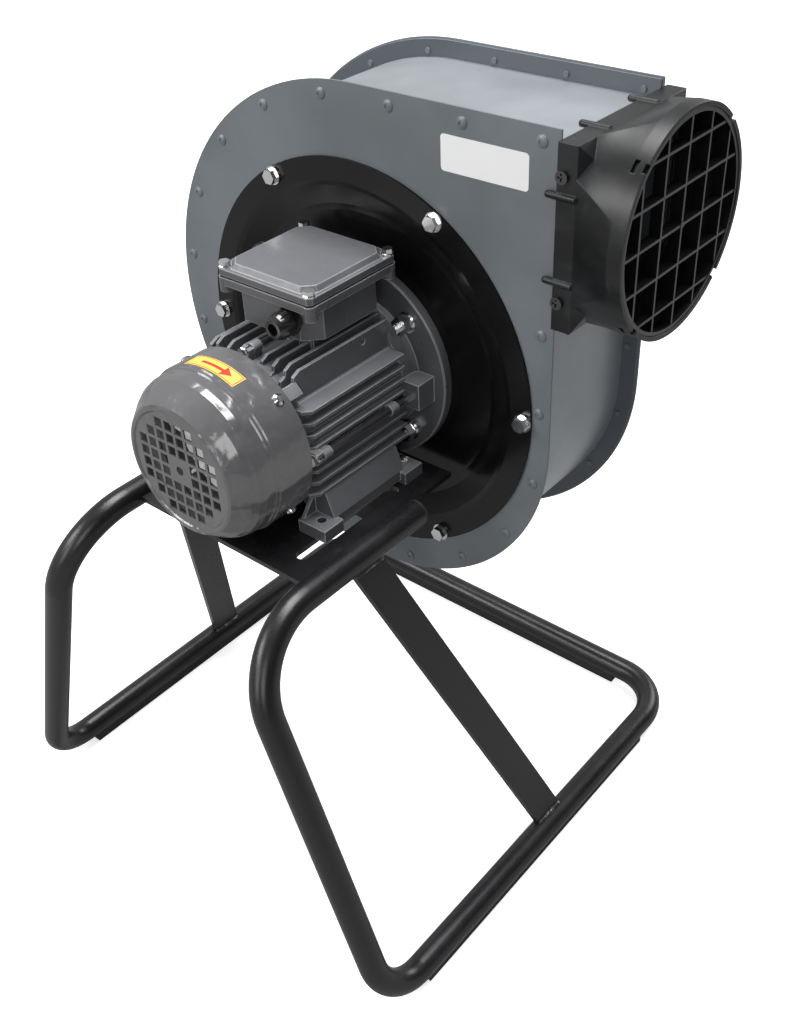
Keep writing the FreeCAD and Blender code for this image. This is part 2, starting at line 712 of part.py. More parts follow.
def adapter_side_ribs():
    """Rounded ribs that hook over the edges of the side plates."""
    solids = []
    x0 = ADAPTER_REAR_X - ADAPTER_RIB_REACH
    half_width = ADAPTER_WIDTH / 2.0 - ADAPTER_RIB_SINK
    top = ADAPTER_CENTRE_Z + ADAPTER_HEIGHT / 2.0 - ADAPTER_RIB_SINK
    for sign in (-1.0, 1.0):
        offset = sign * ADAPTER_RIB_SPACING / 2.0
        for side in (-1.0, 1.0):
            y = MIDDLE_Y + side * half_width
            z = ADAPTER_CENTRE_Z + offset
            solids.append(rod_x(ADAPTER_RIB_RADIUS, x0, ADAPTER_BASE_X, y, z))
            solids.append(Part.makeSphere(ADAPTER_RIB_RADIUS, Vector(x0, y, z)))
        solids.append(rod_x(ADAPTER_RIB_RADIUS, x0, ADAPTER_BASE_X, MIDDLE_Y + offset, top))
        solids.append(Part.makeSphere(ADAPTER_RIB_RADIUS, Vector(x0, MIDDLE_Y + offset, top)))
    return solids


def clip_window_cutters():
    """Windows at the four corners of the spigot for the grille's clips."""
    x1 = ADAPTER_RIM_X - CLIP_WINDOW_INSET
    x0 = x1 - CLIP_WINDOW_LENGTH
    cutters = []
    for degrees in (45.0, 135.0, 225.0, 315.0):
        half = CLIP_WINDOW_WIDTH / 2.0
        inner = ADAPTER_SPIGOT_RADIUS - 8.0
        outer = ADAPTER_SPIGOT_RADIUS + 5.0
        window = block(x0, x1, inner, outer, -half, half)
        notch = block(ADAPTER_RIM_X - 2.5, ADAPTER_RIM_X + 1.0, inner, outer, -half * 0.7, half * 0.7)
        for cutter in (window, notch):
            cutter.rotate(Vector(0, 0, 0), Vector(1, 0, 0), degrees)
            cutter.translate(Vector(0, MIDDLE_Y, ADAPTER_CENTRE_Z))
            cutters.append(cutter)
    return cutters


def outlet_adapter():
    """The moulded square-to-round outlet with its spigot."""
    half_width = ADAPTER_WIDTH / 2.0
    half_height = ADAPTER_HEIGHT / 2.0
    base = block(
        ADAPTER_REAR_X,
        ADAPTER_BASE_X,
        MIDDLE_Y - half_width,
        MIDDLE_Y + half_width,
        ADAPTER_CENTRE_Z - half_height,
        ADAPTER_CENTRE_Z + half_height,
    )
    spigot = rod_x(ADAPTER_SPIGOT_RADIUS, ADAPTER_ROUND_X, ADAPTER_RIM_X, MIDDLE_Y, ADAPTER_CENTRE_Z)
    bodies = [square_to_round(0.0), spigot] + adapter_side_ribs()
    for side_y in (-1.0, 1.0):
        for side_z in (-1.0, 1.0):
            bodies.append(corner_gusset(side_y, side_z))
    shell = base.fuse(bodies)
    socket = block(
        ADAPTER_REAR_X - 6.0,
        ADAPTER_BASE_X - 1.5,
        SIDE_SHEET,
        REAR_PLATE_Y,
        OUTLET_FLOOR_HEIGHT,
        OUTLET_CEILING_HEIGHT,
    )
    inset = ADAPTER_WALL + 4.0
    throat = block(
        ADAPTER_BASE_X - 2.0,
        ADAPTER_BASE_X,
        MIDDLE_Y - half_width + inset,
        MIDDLE_Y + half_width - inset,
        ADAPTER_CENTRE_Z - half_height + inset + 12.0,
        ADAPTER_CENTRE_Z + half_height - inset - 12.0,
    )
    bore_radius = ADAPTER_SPIGOT_RADIUS - ADAPTER_WALL
    bore = rod_x(bore_radius, ADAPTER_ROUND_X, ADAPTER_RIM_X + 1.0, MIDDLE_Y, ADAPTER_CENTRE_Z)
    cutters = [socket, throat.fuse([square_to_round(ADAPTER_WALL), bore])]
    cutters += clip_window_cutters()
    for z in adapter_screw_heights():
        cutters.append(rod_y(1.9, -20.0, HOUSING_WIDTH + 20.0, adapter_screw_x(), z))
    return shell.cut(cutters)


def adapter_screws():
    """Pan screws in the two sides of the adapter."""
    solids = []
    out = ADAPTER_WIDTH / 2.0
    for z in adapter_screw_heights():
        for sign in (-1.0, 1.0):
            near = MIDDLE_Y + sign * out
            far = near + sign * 2.6
            y0, y1 = sorted((near, far))
            head = rod_y(4.3, y0, y1, adapter_screw_x(), z)
            deep = near + sign * 1.2
            a0, a1 = sorted((deep, far + sign))
            x = adapter_screw_x()
            upright = block(x - 0.6, x + 0.6, a0, a1, z - 2.6, z + 2.6)
            level = block(x - 2.6, x + 2.6, a0, a1, z - 0.6, z + 0.6)
            head = head.cut([upright, level])
            s0, s1 = sorted((near, near - sign * 12.0))
            solids.append(head.fuse(rod_y(1.8, s0, s1, x, z)).removeSplitter())
    return group(solids)


def outlet_grille():
    """The snap-in guard with crossed bars."""
    outer = ADAPTER_SPIGOT_RADIUS - ADAPTER_WALL - SLIDE_GAP
    inner = outer - GRILLE_RIM
    x1 = ADAPTER_RIM_X - 0.8
    x0 = x1 - GRILLE_DEPTH
    rim = rod_x(outer, x0, x1, MIDDLE_Y, ADAPTER_CENTRE_Z)
    rim = rim.cut(rod_x(inner, x0 - 1.0, x1 + 1.0, MIDDLE_Y, ADAPTER_CENTRE_Z))
    bars = []
    half = GRILLE_BAR_WIDTH / 2.0
    span = outer + 5.0
    for index in range(-2, 3):
        offset = index * GRILLE_PITCH
        y = MIDDLE_Y + offset
        z = ADAPTER_CENTRE_Z + offset
        low = ADAPTER_CENTRE_Z - span
        high = ADAPTER_CENTRE_Z + span
        bars.append(block(x0 + 1.0, x1 - 0.6, y - half, y + half, low, high))
        bars.append(block(x0 + 1.0, x1 - 0.6, MIDDLE_Y - span, MIDDLE_Y + span, z - half, z + half))
    disc = rod_x(outer - 0.5, x0, x1, MIDDLE_Y, ADAPTER_CENTRE_Z)
    cross = bars[0].multiFuse(bars[1:]).common(disc)
    nub = rod_x(2.2, x0 + 1.0, x1 - 0.2, MIDDLE_Y, ADAPTER_CENTRE_Z)
    clips = []
    clip_x1 = ADAPTER_RIM_X - CLIP_WINDOW_INSET - SLIDE_GAP
    clip_x0 = clip_x1 - CLIP_WINDOW_LENGTH + 2.0 * SLIDE_GAP
    for degrees in (45.0, 135.0, 225.0, 315.0):
        clip = block(clip_x0, clip_x1, outer - 1.0, ADAPTER_SPIGOT_RADIUS - 2.4, -3.6, 3.6)
        clip.rotate(Vector(0, 0, 0), Vector(1, 0, 0), degrees)
        clip.translate(Vector(0, MIDDLE_Y, ADAPTER_CENTRE_Z))
        clips.append(clip)
    return rim.fuse([cross, nub] + clips).removeSplitter()


def rounded_plate_xz(x0, x1, z0, z1, radius, y0, y1):
    """A thin rectangle with rounded corners, facing along Y."""
    plate = block(x0, x1, y0, y1, z0, z1)
    edges = [edge for edge in plate.Edges if abs(edge.tangentAt(edge.FirstParameter).y) > 0.9]
    return plate.makeFillet(radius, edges)


def rating_label():
    """The blank label on the front side plate."""
    right = PLATE_RIGHT - LABEL_RIGHT_INSET
    top = PLATE_TOP - LABEL_TOP_INSET
    return rounded_plate_xz(right - LABEL_WIDTH, right, top - LABEL_HEIGHT, top, 2.6, -LABEL_SHEET, 0.0)


def tie_bolt_places():
    """Where the four long bolts through both end shields run."""
    between_fins = -SIDE_FIN_PITCH / 2.0
    return [
        (TIE_BOLT_REACH, between_fins),
        (-TIE_BOLT_REACH, between_fins),
        (0.0, TIE_BOLT_REACH),
        (0.0, -TIE_BOLT_REACH),
    ]


def side_fin_heights():
    """The heights of the level fins on the frame's sides."""
    return [(3.0 - index) * SIDE_FIN_PITCH for index in range(SIDE_FIN_COUNT)]


def side_fin(side, z):
    """One level fin with its front corner cut off."""
    root = math.sqrt(STATOR_RADIUS * STATOR_RADIUS - z * z) + 1.0
    front = BARREL_FRONT_Y - FIN_OVERHANG
    rear = BARREL_REAR_Y - 2.0
    outline = [
        (side * root, front),
        (side * (SIDE_FIN_TIP - 5.0), front),
        (side * SIDE_FIN_TIP, front + 6.0),
        (side * SIDE_FIN_TIP, rear),
        (side * root, rear),
    ]
    half = FIN_THICKNESS / 2.0
    return plate_xy(outline, z - half, z + half)


def top_fin(x, low, high):
    """One upright fin with a step down at its front end."""
    front = BARREL_FRONT_Y - FIN_OVERHANG
    rear = BARREL_REAR_Y - 2.0
    outline = [
        (front, low),
        (front, high - 9.0),
        (front + 5.0, high - 7.0),
        (front + 6.0, high - 3.0),
        (front + 12.0, high),
        (rear, high),
        (rear, low),
    ]
    half = FIN_THICKNESS / 2.0
    return plate_yz(outline, x - half, x + half)


def motor_frame():
    """The finned motor body."""
    barrel = tube_y(BARREL_RADIUS, STATOR_RADIUS, BARREL_FRONT_Y, BARREL_REAR_Y)
    added = []
    ledge = side_fin_heights()[0]
    for side in (-1.0, 1.0):
        for z in side_fin_heights():
            added.append(side_fin(side, z))
        for index in range(TOP_FINS_PER_SIDE):
            x = side * (index + 1.0) * TOP_FIN_PITCH
            root = math.sqrt(STATOR_RADIUS * STATOR_RADIUS - x * x) + 1.0
            added.append(top_fin(x, root, TOP_FIN_TIP))
        added.append(top_fin(side * CORNER_FIN_X, ledge, CORNER_FIN_TIP))
        web_x0, web_x1 = sorted((side * (CORNER_FIN_X - 9.0), side * (CORNER_FIN_X + 1.0)))
        added.append(block(web_x0, web_x1, BARREL_FRONT_Y, BARREL_REAR_Y - 2.0, ledge - 1.2, ledge + 6.0))
    half_saddle = BOX_HALF_WIDTH - 13.0
    added.append(
        block(
            -half_saddle,
            half_saddle,
            BOX_CENTRE_Y - half_saddle,
            BOX_CENTRE_Y + half_saddle,
            STATOR_RADIUS,
            BOX_FLOOR_Z,
        )
    )
    boss_starts = (BARREL_FRONT_Y, BARREL_REAR_Y - EAR_LENGTH - TIE_BOSS_LENGTH)
    for x, z in tie_bolt_places():
        for y in boss_starts:
            boss = rod_y(TIE_BOSS_RADIUS, y, y + TIE_BOSS_LENGTH, x, z)
            neck = math.hypot(x, z)
            foot = block(BARREL_RADIUS - 2.0, neck, y, y + TIE_BOSS_LENGTH, -3.0, 3.0)
            foot.rotate(Vector(0, 0, 0), ALONG_Y, -math.degrees(math.atan2(z, x)))
            added += [boss, foot]
    body = barrel.fuse(added).removeSplitter()
    cutters = [rod_y(STATOR_RADIUS, BARREL_FRONT_Y - 20.0, BARREL_REAR_Y + 20.0)]
    cutters.append(rod_y(BARREL_RADIUS + 1.0 + SLIDE_GAP, BARREL_FRONT_Y - 20.0, BARREL_FRONT_Y))
    cutters += fan_endshield_lugs(SLIDE_GAP)
    for x, z in tie_bolt_places():
        cutters.append(rod_y(TIE_BOLT_RADIUS + SLIDE_GAP, BARREL_FRONT_Y - 20.0, 0.0, x, z))
    for side in (-1.0, 1.0):
        x0, x1 = sorted((side * (CORNER_FIN_X - 3.0), side * (CORNER_FIN_X + 3.0)))
        cutters.append(rod_x(2.0, x0, x1, BOX_CENTRE_Y + 8.0, CORNER_FIN_TIP - 7.0))
    return body.cut(cutters)


def motor_feet():
    """The cast feet on both sides below the frame."""
    pad_x0 = FOOT_HOLE_SPREAD / 2.0 - FOOT_PAD_INBOARD
    pad_x1 = pad_x0 + FOOT_PAD_WIDTH
    half = FOOT_PAD_LENGTH / 2.0
    base = -SHAFT_HEIGHT
    top = base + FOOT_PAD_THICKNESS
    under_fin = side_fin_heights()[-1] - FIN_THICKNESS / 2.0
    web = plate_xz(
        [
            (26.0, under_fin),
            (SIDE_FIN_TIP - 1.0, under_fin),
            (pad_x1 - 5.0, top + 1.0),
            (pad_x1 - 5.0, base + 3.0),
            (pad_x0, base + 3.0),
            (pad_x0 - 2.0, top - 2.0),
            (28.0, under_fin - 14.0),
        ],
        FRONT_FOOT_HOLE_Y + 6.0,
        REAR_FOOT_HOLE_Y - 6.0,
    )
    pieces = []
    for y, inward in ((FRONT_FOOT_HOLE_Y, 1.0), (REAR_FOOT_HOLE_Y, -1.0)):
        pieces.append(block(pad_x0, pad_x1, y - half, y + half, base, top))
        rib = plate_yz(
            [
                (y + inward * 6.0, under_fin - 6.0),
                (y + inward * 6.0, top - 1.0),
                (y - inward * 7.0, top - 1.0),
                (y - inward * 1.0, top + 7.0),
            ],
            pad_x0,
            pad_x0 + 3.0,
        )
        pieces.append(rib)
    foot = web.fuse(pieces).removeSplitter()
    cutters = [rod_y(BARREL_RADIUS, BARREL_FRONT_Y - 20.0, BARREL_REAR_Y + 10.0)]
    for y in (FRONT_FOOT_HOLE_Y, REAR_FOOT_HOLE_Y):
        cutters.append(rod_z(FOOT_HOLE_RADIUS, base - 1.0, top + 20.0, FOOT_HOLE_SPREAD / 2.0, y))
    for x, z in tie_bolt_places():
        cutters.append(rod_y(TIE_BOSS_RADIUS + SLIDE_GAP, BARREL_FRONT_Y - 20.0, BARREL_REAR_Y, x, z))
    foot = foot.cut(cutters)
    foot = max(foot.Solids, key=lambda solid: solid.Volume)
    other = foot.mirror(Vector(0, 0, 0), Vector(1, 0, 0))
    return group([foot, other])


def foot_bolts():
    """Hexagon bolts in the rear pair of feet."""
    top = -SHAFT_HEIGHT + FOOT_PAD_THICKNESS
    under = -SHAFT_HEIGHT - MOTOR_PLATE_SHEET
    solids = []
    for sign in (-1.0, 1.0):
        x = sign * FOOT_HOLE_SPREAD / 2.0
        head = hexagon_y(10.0, 0.0, 4.0)
        head.rotate(Vector(0, 0, 0), Vector(1, 0, 0), 90.0)
        head.translate(Vector(x, REAR_FOOT_HOLE_Y, top))
        shank = rod_z(3.0, under - 9.0, top, x, REAR_FOOT_HOLE_Y)
        solids.append(head.fuse(shank).removeSplitter())
    return group(solids)


def foot_nuts():
    """Nuts with wide washers below the motor plate."""
    under = -SHAFT_HEIGHT - MOTOR_PLATE_SHEET
    solids = []
    for sign in (-1.0, 1.0):
        x = sign * FOOT_HOLE_SPREAD / 2.0
        washer = block(x - 9.0, x + 9.0, REAR_FOOT_HOLE_Y - 9.0, REAR_FOOT_HOLE_Y + 9.0, under - 1.6, under)
        nut = hexagon_y(10.0, 0.0, 5.0)
        nut.rotate(Vector(0, 0, 0), Vector(1, 0, 0), -90.0)
        nut.translate(Vector(x, REAR_FOOT_HOLE_Y, under - 1.6))
        solid = washer.fuse(nut).removeSplitter()
        solids.append(solid.cut(rod_z(3.0 + SEAT_GAP, under - 12.0, under + 1.0, x, REAR_FOOT_HOLE_Y)))
    return group(solids)


def bearing_seat(y0, y1):
    """The pocket for a bearing's outer ring."""
    return rod_y(BEARING_OUTER_RADIUS + PRESS_GAP, y0, y1)


def drive_endshield():
    """The drive end shield with the round mounting flange."""
    front = FLANGE_FRONT_Y
    face = FLANGE_FACE_Y
    neck = BARREL_RADIUS + 2.0
    shield = turned(
        [
            (9.0, face + FLANGE_SPIGOT_HEIGHT),
            (FLANGE_SPIGOT_RADIUS, face + FLANGE_SPIGOT_HEIGHT),
            (FLANGE_SPIGOT_RADIUS, face),
            (FLANGE_RADIUS, face),
            (FLANGE_RADIUS, front + 0.8),
            (FLANGE_RADIUS - 0.8, front),
            (neck + 2.0, front),
            (neck, front - 3.0),
            (BARREL_RADIUS + 1.0, BARREL_REAR_Y),
            (STATOR_RADIUS - 0.1, BARREL_REAR_Y),
            (STATOR_RADIUS - 0.1, BARREL_REAR_Y - 4.0),
            (STATOR_RADIUS - 4.0, BARREL_REAR_Y - 4.0),
            (STATOR_RADIUS - 6.0, front + 1.0),
            (26.0, front + 2.0),
            (22.5, DRIVE_BEARING_Y - 2.0),
            (9.0, DRIVE_BEARING_Y - 2.0),
        ]
    )
    ears = []
    for sign in (-1.0, 1.0):
        x0, x1 = sorted((sign * (STATOR_RADIUS + 3.0), sign * (TIE_BOLT_REACH + 10.0)))
        ears.append(block(x0, x1, BARREL_REAR_Y - 3.0, front + 1.0, -13.0, 8.0))
        z0, z1 = sorted((sign * (STATOR_RADIUS + 3.0), sign * (BOX_FLOOR_Z - 0.5)))
        ears.append(block(-8.0, 8.0, BARREL_REAR_Y - 3.0, front + 1.0, z0, z1))
    holes = ring_of_holes(FLANGE_STUD_RADIUS + SEAT_GAP, FLANGE_STUD_CIRCLE, 4, front - 1.0, face + 5.0, 45.0)
    bearing_y = DRIVE_BEARING_Y - 2.0
    cutters = [bearing_seat(bearing_y - 1.0, bearing_y + BEARING_WIDTH + PRESS_GAP)] + holes
    for x, z in tie_bolt_places():
        cutters.append(rod_y(TIE_BOLT_RADIUS + SEAT_GAP, -60.0, front - 2.0, x, z))
    barrel_room = rod_y(BARREL_RADIUS + SEAT_GAP, -60.0, BARREL_REAR_Y)
    cutters.append(barrel_room.cut(rod_y(STATOR_RADIUS - 0.1, BARREL_REAR_Y - 4.0, BARREL_REAR_Y)))
    half = FIN_THICKNESS / 2.0 + SLIDE_GAP
    for z in side_fin_heights():
        x = SIDE_FIN_TIP + SLIDE_GAP
        cutters.append(block(-x, x, BARREL_REAR_Y - 4.0, BARREL_REAR_Y - 2.0 + SLIDE_GAP, z - half, z + half))
    return shield.fuse(ears).cut(cutters)


def fan_endshield_lugs(gap):
    """Lugs for the tie bolts and arms for the cowl screws, or the room for them."""
    front = BARREL_FRONT_Y
    half = TIE_BOSS_RADIUS + gap
    lugs = []
    for x, z in tie_bolt_places():
        lug = block(STATOR_RADIUS, math.hypot(x, z) + half - 2.0, front - 6.0 - gap, front, -half, half)
        lug.rotate(Vector(0, 0, 0), ALONG_Y, -math.degrees(math.atan2(z, x)))
        lugs.append(lug)
    reach = COWL_INNER_RADIUS - SEAT_GAP + gap
    arm = block(BARREL_RADIUS - 8.0, reach, COWL_SCREW_Y - 5.0, front, -5.0 - gap, 5.0 + gap)
    arm = arm.common(rod_y(reach, COWL_SCREW_Y - 6.0, front))
    return lugs + turned_copies(arm, 4, 45.0)


def fan_endshield():
    """The end shield on the cooling fan's side."""
    front = BARREL_FRONT_Y
    shield = turned(
        [
            (9.0, front - 14.0),
            (22.0, front - 14.0),
            (24.0, front - 5.0),
            (STATOR_RADIUS - 6.0, front - 3.0),
            (BARREL_RADIUS + 1.0, front - 5.0),
            (BARREL_RADIUS + 1.0, front),
            (STATOR_RADIUS - 0.1, front),
            (STATOR_RADIUS - 0.1, front + 4.0),
            (STATOR_RADIUS - 4.0, front + 4.0),
            (STATOR_RADIUS - 7.0, front + 1.0),
            (26.0, front + 0.5),
            (22.5, front + 1.5),
            (9.0, front + 1.5),
        ]
    )
    lugs = fan_endshield_lugs(0.0)
    cutters = [bearing_seat(front - 12.0 - PRESS_GAP, front + 2.0)]
    for x, z in tie_bolt_places():
        cutters.append(rod_y(TIE_BOLT_RADIUS + SEAT_GAP, front - 20.0, front, x, z))
    pilot = rod_x(1.9, STATOR_RADIUS, COWL_RADIUS + 2.0, COWL_SCREW_Y, 0.0)
    cutters += turned_copies(pilot, 4, 45.0)
    return shield.fuse(lugs).cut(cutters)


def tie_bolts():
    """The long bolts that pull both end shields against the frame."""
    head_y = BARREL_FRONT_Y - 6.0
    ear_y = BARREL_REAR_Y - 3.0
    solids = []
    for x, z in tie_bolt_places():
        bolt = hexagon_y(7.0, head_y - 4.0, head_y, x, z)
        washer = rod_y(4.4, head_y - 1.0, head_y, x, z)
        shank = rod_y(TIE_BOLT_RADIUS, head_y, FLANGE_FRONT_Y - 3.0, x, z)
        nut = hexagon_y(8.0, ear_y - 5.0, ear_y, x, z)
        solids.append(bolt.fuse([washer, shank, nut]).removeSplitter())
    return group(solids)


def stator_core():
    """The stator's laminated pack with its slots."""
    core = tube_y(STATOR_RADIUS, ROTOR_RADIUS + SLIDE_GAP, STACK_FRONT_Y, STACK_REAR_Y)
    slot = block(ROTOR_RADIUS + 3.0, ROTOR_RADIUS + 13.0, STACK_FRONT_Y - 1.0, STACK_REAR_Y + 1.0, -2.0, 2.0)
    return core.cut(turned_copies(slot, 18))


def stator_windings():
    """The copper coils, with their heads at both ends of the pack."""
    inner = ROTOR_RADIUS + 3.0
    outer = ROTOR_RADIUS + 15.0
    head = 12.0
    front = turned(
        [
            (inner, STACK_FRONT_Y),
            (outer, STACK_FRONT_Y),
            (outer, STACK_FRONT_Y - head + 4.0),
            (outer - 4.0, STACK_FRONT_Y - head),
            (inner, STACK_FRONT_Y - head),
        ]
    )
    rear = turned(
        [
            (inner, STACK_REAR_Y),
            (inner, STACK_REAR_Y + head),
            (outer - 4.0, STACK_REAR_Y + head),
            (outer, STACK_REAR_Y + head - 4.0),
            (outer, STACK_REAR_Y),
        ]
    )
    bar = block(inner, inner + 9.6, STACK_FRONT_Y - 0.5, STACK_REAR_Y + 0.5, -1.8, 1.8)
    return front.fuse([rear] + turned_copies(bar, 18))


def rotor_core():
    """The squirrel-cage rotor body."""
    ring = 5.0
    core = tube_y(ROTOR_RADIUS, 9.0, STACK_FRONT_Y, STACK_REAR_Y)
    ends = tube_y(ROTOR_RADIUS - 2.0, 14.0, STACK_FRONT_Y - ring, STACK_REAR_Y + ring)
    return core.fuse(ends).removeSplitter()


def motor_shaft():
    """The stepped motor shaft with its keyway."""
    end = FLANGE_FACE_Y + SHAFT_END_LENGTH
    drive_seat = DRIVE_BEARING_Y - 2.0
    fan_seat = BARREL_FRONT_Y - 12.0
    seat = BEARING_BORE_RADIUS
    shaft = turned(
        [
            (0.0, fan_seat - 34.0),
            (5.5, fan_seat - 34.0),
            (6.0, fan_seat - 33.5),
            (6.0, fan_seat - 1.5),
            (seat, fan_seat - 1.0),
            (seat, fan_seat + BEARING_WIDTH),
            (8.6, fan_seat + BEARING_WIDTH),
            (9.0, STACK_FRONT_Y - 8.0),
            (9.0, STACK_REAR_Y + 8.0),
            (8.6, drive_seat),
            (seat, drive_seat),
            (seat, drive_seat + BEARING_WIDTH + 1.0),
            (SHAFT_END_RADIUS, drive_seat + BEARING_WIDTH + 1.5),
            (SHAFT_END_RADIUS, end - 0.8),
            (SHAFT_END_RADIUS - 0.8, end),
            (0.0, end),
        ]
    )
    key_y0 = end - 5.0 - KEY_LENGTH
    half = KEY_WIDTH / 2.0
    keyway = block(-half, half, key_y0, key_y0 + KEY_LENGTH, SHAFT_END_RADIUS - 3.0, SHAFT_END_RADIUS + 1.0)
    tapped = rod_y(2.5, end - 14.0, end + 1.0)
    return shaft.cut([keyway, tapped])


def shaft_key():
    """The key between the shaft and the impeller hub."""
    end = FLANGE_FACE_Y + SHAFT_END_LENGTH
    key_y0 = end - 5.0 - KEY_LENGTH
    half = KEY_WIDTH / 2.0
    z0 = SHAFT_END_RADIUS - 3.0
    return block(-half, half, key_y0, key_y0 + KEY_LENGTH, z0, z0 + KEY_HEIGHT)


def bearing_starts():
    """The y at which each bearing begins."""
    return (DRIVE_BEARING_Y - 2.0, BARREL_FRONT_Y - 12.0)


def ball_groove(y_middle):
    """The ring-shaped track that the balls run in."""
    return Part.makeTorus(BALL_PITCH_RADIUS, BALL_RADIUS + SLIDE_GAP, Vector(0, y_middle, 0), ALONG_Y)


def bearing_rings(inner, outer):
    """One ring of each bearing with its track."""
    solids = []
    for y0 in bearing_starts():
        ring = tube_y(outer, inner, y0, y0 + BEARING_WIDTH)
        solids.append(ring.cut(ball_groove(y0 + BEARING_WIDTH / 2.0)))
    return group(solids)


def bearing_outer_rings():
    """The rings held in the end shields."""
    return bearing_rings(BALL_PITCH_RADIUS + 1.7, BEARING_OUTER_RADIUS)


def bearing_inner_rings():
    """The rings pressed on the shaft."""
    return bearing_rings(BEARING_BORE_RADIUS + 0.01, BALL_PITCH_RADIUS - 1.7)


def bearing_ball_sets():
    """The balls of each bearing, held by a thin cage."""
    solids = []
    for y0 in bearing_starts():
        middle = y0 + BEARING_WIDTH / 2.0
        cage = tube_y(BALL_PITCH_RADIUS + 0.8, BALL_PITCH_RADIUS - 0.8, middle - 1.6, middle + 1.6)
        ball = Part.makeSphere(BALL_RADIUS, Vector(BALL_PITCH_RADIUS, middle, 0))
        solids.append(cage.fuse(turned_copies(ball, BALL_COUNT)))
    return group(solids)


def cooling_fan():
    """The moulded fan with open blades on the shaft's other end."""
    root = BARREL_FRONT_Y - COOLING_FAN_REACH
    disc_y = COWL_SCREW_Y - 8.0
    hub = tube_y(11.0, 6.0 + PRESS_GAP, root + 1.0, disc_y)
    disc = tube_y(COOLING_DISC_RADIUS, 10.0, disc_y - 2.0, disc_y)
    half = COOLING_BLADE_SHEET / 2.0
    blade = plate_xy(
        [
            (10.0, disc_y - 1.0),
            (COOLING_FAN_RADIUS, disc_y - 3.0),
            (COOLING_FAN_RADIUS, root + 6.0),
            (COOLING_FAN_RADIUS * 0.55, root + 3.0),
            (10.0, root + 5.0),
        ],
        -half,
        half,
    )
    return hub.fuse([disc] + turned_copies(blade, COOLING_BLADE_COUNT))


def cowl_grid_cutters():
    """Square air holes in the cowl's end, open in a stepped round pattern."""
    cutters = []
    rows = (2, 3, 4, 4)
    half = GRID_HOLE / 2.0
    for column in range(4):
        for row in range(rows[3 - column]):
            if column == 0 and row == 0:
                continue
            x = (column + 0.5) * GRID_PITCH
            z = (row + 0.5) * GRID_PITCH
            for sign_x in (-1.0, 1.0):
                for sign_z in (-1.0, 1.0):
                    cutters.append(
                        block(
                            sign_x * x - half,
                            sign_x * x + half,
                            COWL_END_Y - 2.0,
                            COWL_END_Y + 4.0,
                            sign_z * z - half,
                            sign_z * z + half,
                        )
                    )
    return cutters


def fan_cowl():
    """The pressed cowl over the cooling fan."""
    outer = COWL_RADIUS
    sheet = COWL_SHEET
    outside = [
        (outer, COWL_REAR_Y),
        (outer, COWL_BEAD_Y + 2.0),
        (outer - 0.9, COWL_BEAD_Y + 1.0),
        (outer - 0.9, COWL_BEAD_Y - 1.0),
        (outer - 1.8, COWL_BEAD_Y - 2.0),
        (outer - 2.0, COWL_SHOULDER_Y),
        (outer - 3.4, COWL_SHOULDER_Y - 5.0),
        (outer - 6.4, COWL_SHOULDER_Y - 10.0),
        (outer - 10.6, COWL_SHOULDER_Y - 15.5),
        (outer - 13.2, COWL_SHOULDER_Y - 19.0),
        (COWL_DISC_RADIUS + 0.8, COWL_END_Y + 0.8),
        (COWL_DISC_RADIUS - 1.0, COWL_END_Y),
        (COWL_DISC_RADIUS - 3.0, COWL_END_Y),
        (COWL_DISC_RADIUS - 4.0, COWL_END_Y + 1.0),
        (3.5, COWL_END_Y + 1.0),
    ]
    inside = [
        (3.5, COWL_END_Y + 1.0 + sheet),
        (COWL_DISC_RADIUS - 3.6, COWL_END_Y + 1.0 + sheet),
        (outer - 14.0, COWL_SHOULDER_Y - 18.0),
        (outer - 11.6, COWL_SHOULDER_Y - 14.6),
        (outer - 7.5, COWL_SHOULDER_Y - 9.3),
        (outer - 4.6, COWL_SHOULDER_Y - 4.4),
        (outer - 2.0 - sheet, COWL_SHOULDER_Y + 0.5),
        (outer - 1.9 - sheet, COWL_BEAD_Y - 1.0),
        (outer - 0.9 - sheet, COWL_BEAD_Y),
        (outer - sheet, COWL_BEAD_Y + 2.0),
        (outer - sheet, COWL_REAR_Y),
    ]
    cutters = cowl_grid_cutters()
    hole = rod_x(2.2, outer - 6.0, outer + 4.0, COWL_SCREW_Y, 0.0)
    cutters += turned_copies(hole, 4, 45.0)
    return turned(outside + inside).cut(cutters)


def cowl_screws():
    """Round-headed screws that hold the cowl."""
    outer = COWL_RADIUS
    head = Part.makeCylinder(4.2, 1.2, Vector(outer - 0.2, COWL_SCREW_Y, 0), Vector(1, 0, 0))
    dome = Part.makeCone(4.2, 2.4, 1.4, Vector(outer + 1.0, COWL_SCREW_Y, 0), Vector(1, 0, 0))
    shank = rod_x(1.8, outer - 9.0, outer, COWL_SCREW_Y, 0.0)
    screw = head.fuse([dome, shank]).removeSplitter()
    core = rod_y(outer, COWL_SCREW_Y - 8.0, COWL_SCREW_Y + 8.0)
    screw = screw.cut(core.cut(rod_x(1.85, 0.0, outer + 1.0, COWL_SCREW_Y, 0.0)))
    return group(turned_copies(screw, 4, 45.0))


def direction_sticker():
    """The curved sticker on top of the cowl."""
    y0 = COWL_BEAD_Y + 3.6
    y1 = y0 + STICKER_WIDTH
    outer = COWL_RADIUS + STICKER_SHEET
    points = [Vector(x, y, 0) for x, y in ((COWL_RADIUS, y0), (outer, y0), (outer, y1), (COWL_RADIUS, y1))]
    face = Part.Face(Part.makePolygon(points + points[:1]))
    sector = face.revolve(Vector(0, 0, 0), ALONG_Y, -STICKER_ANGLE)
    sector.rotate(Vector(0, 0, 0), ALONG_Y, -STICKER_START)
    return sector


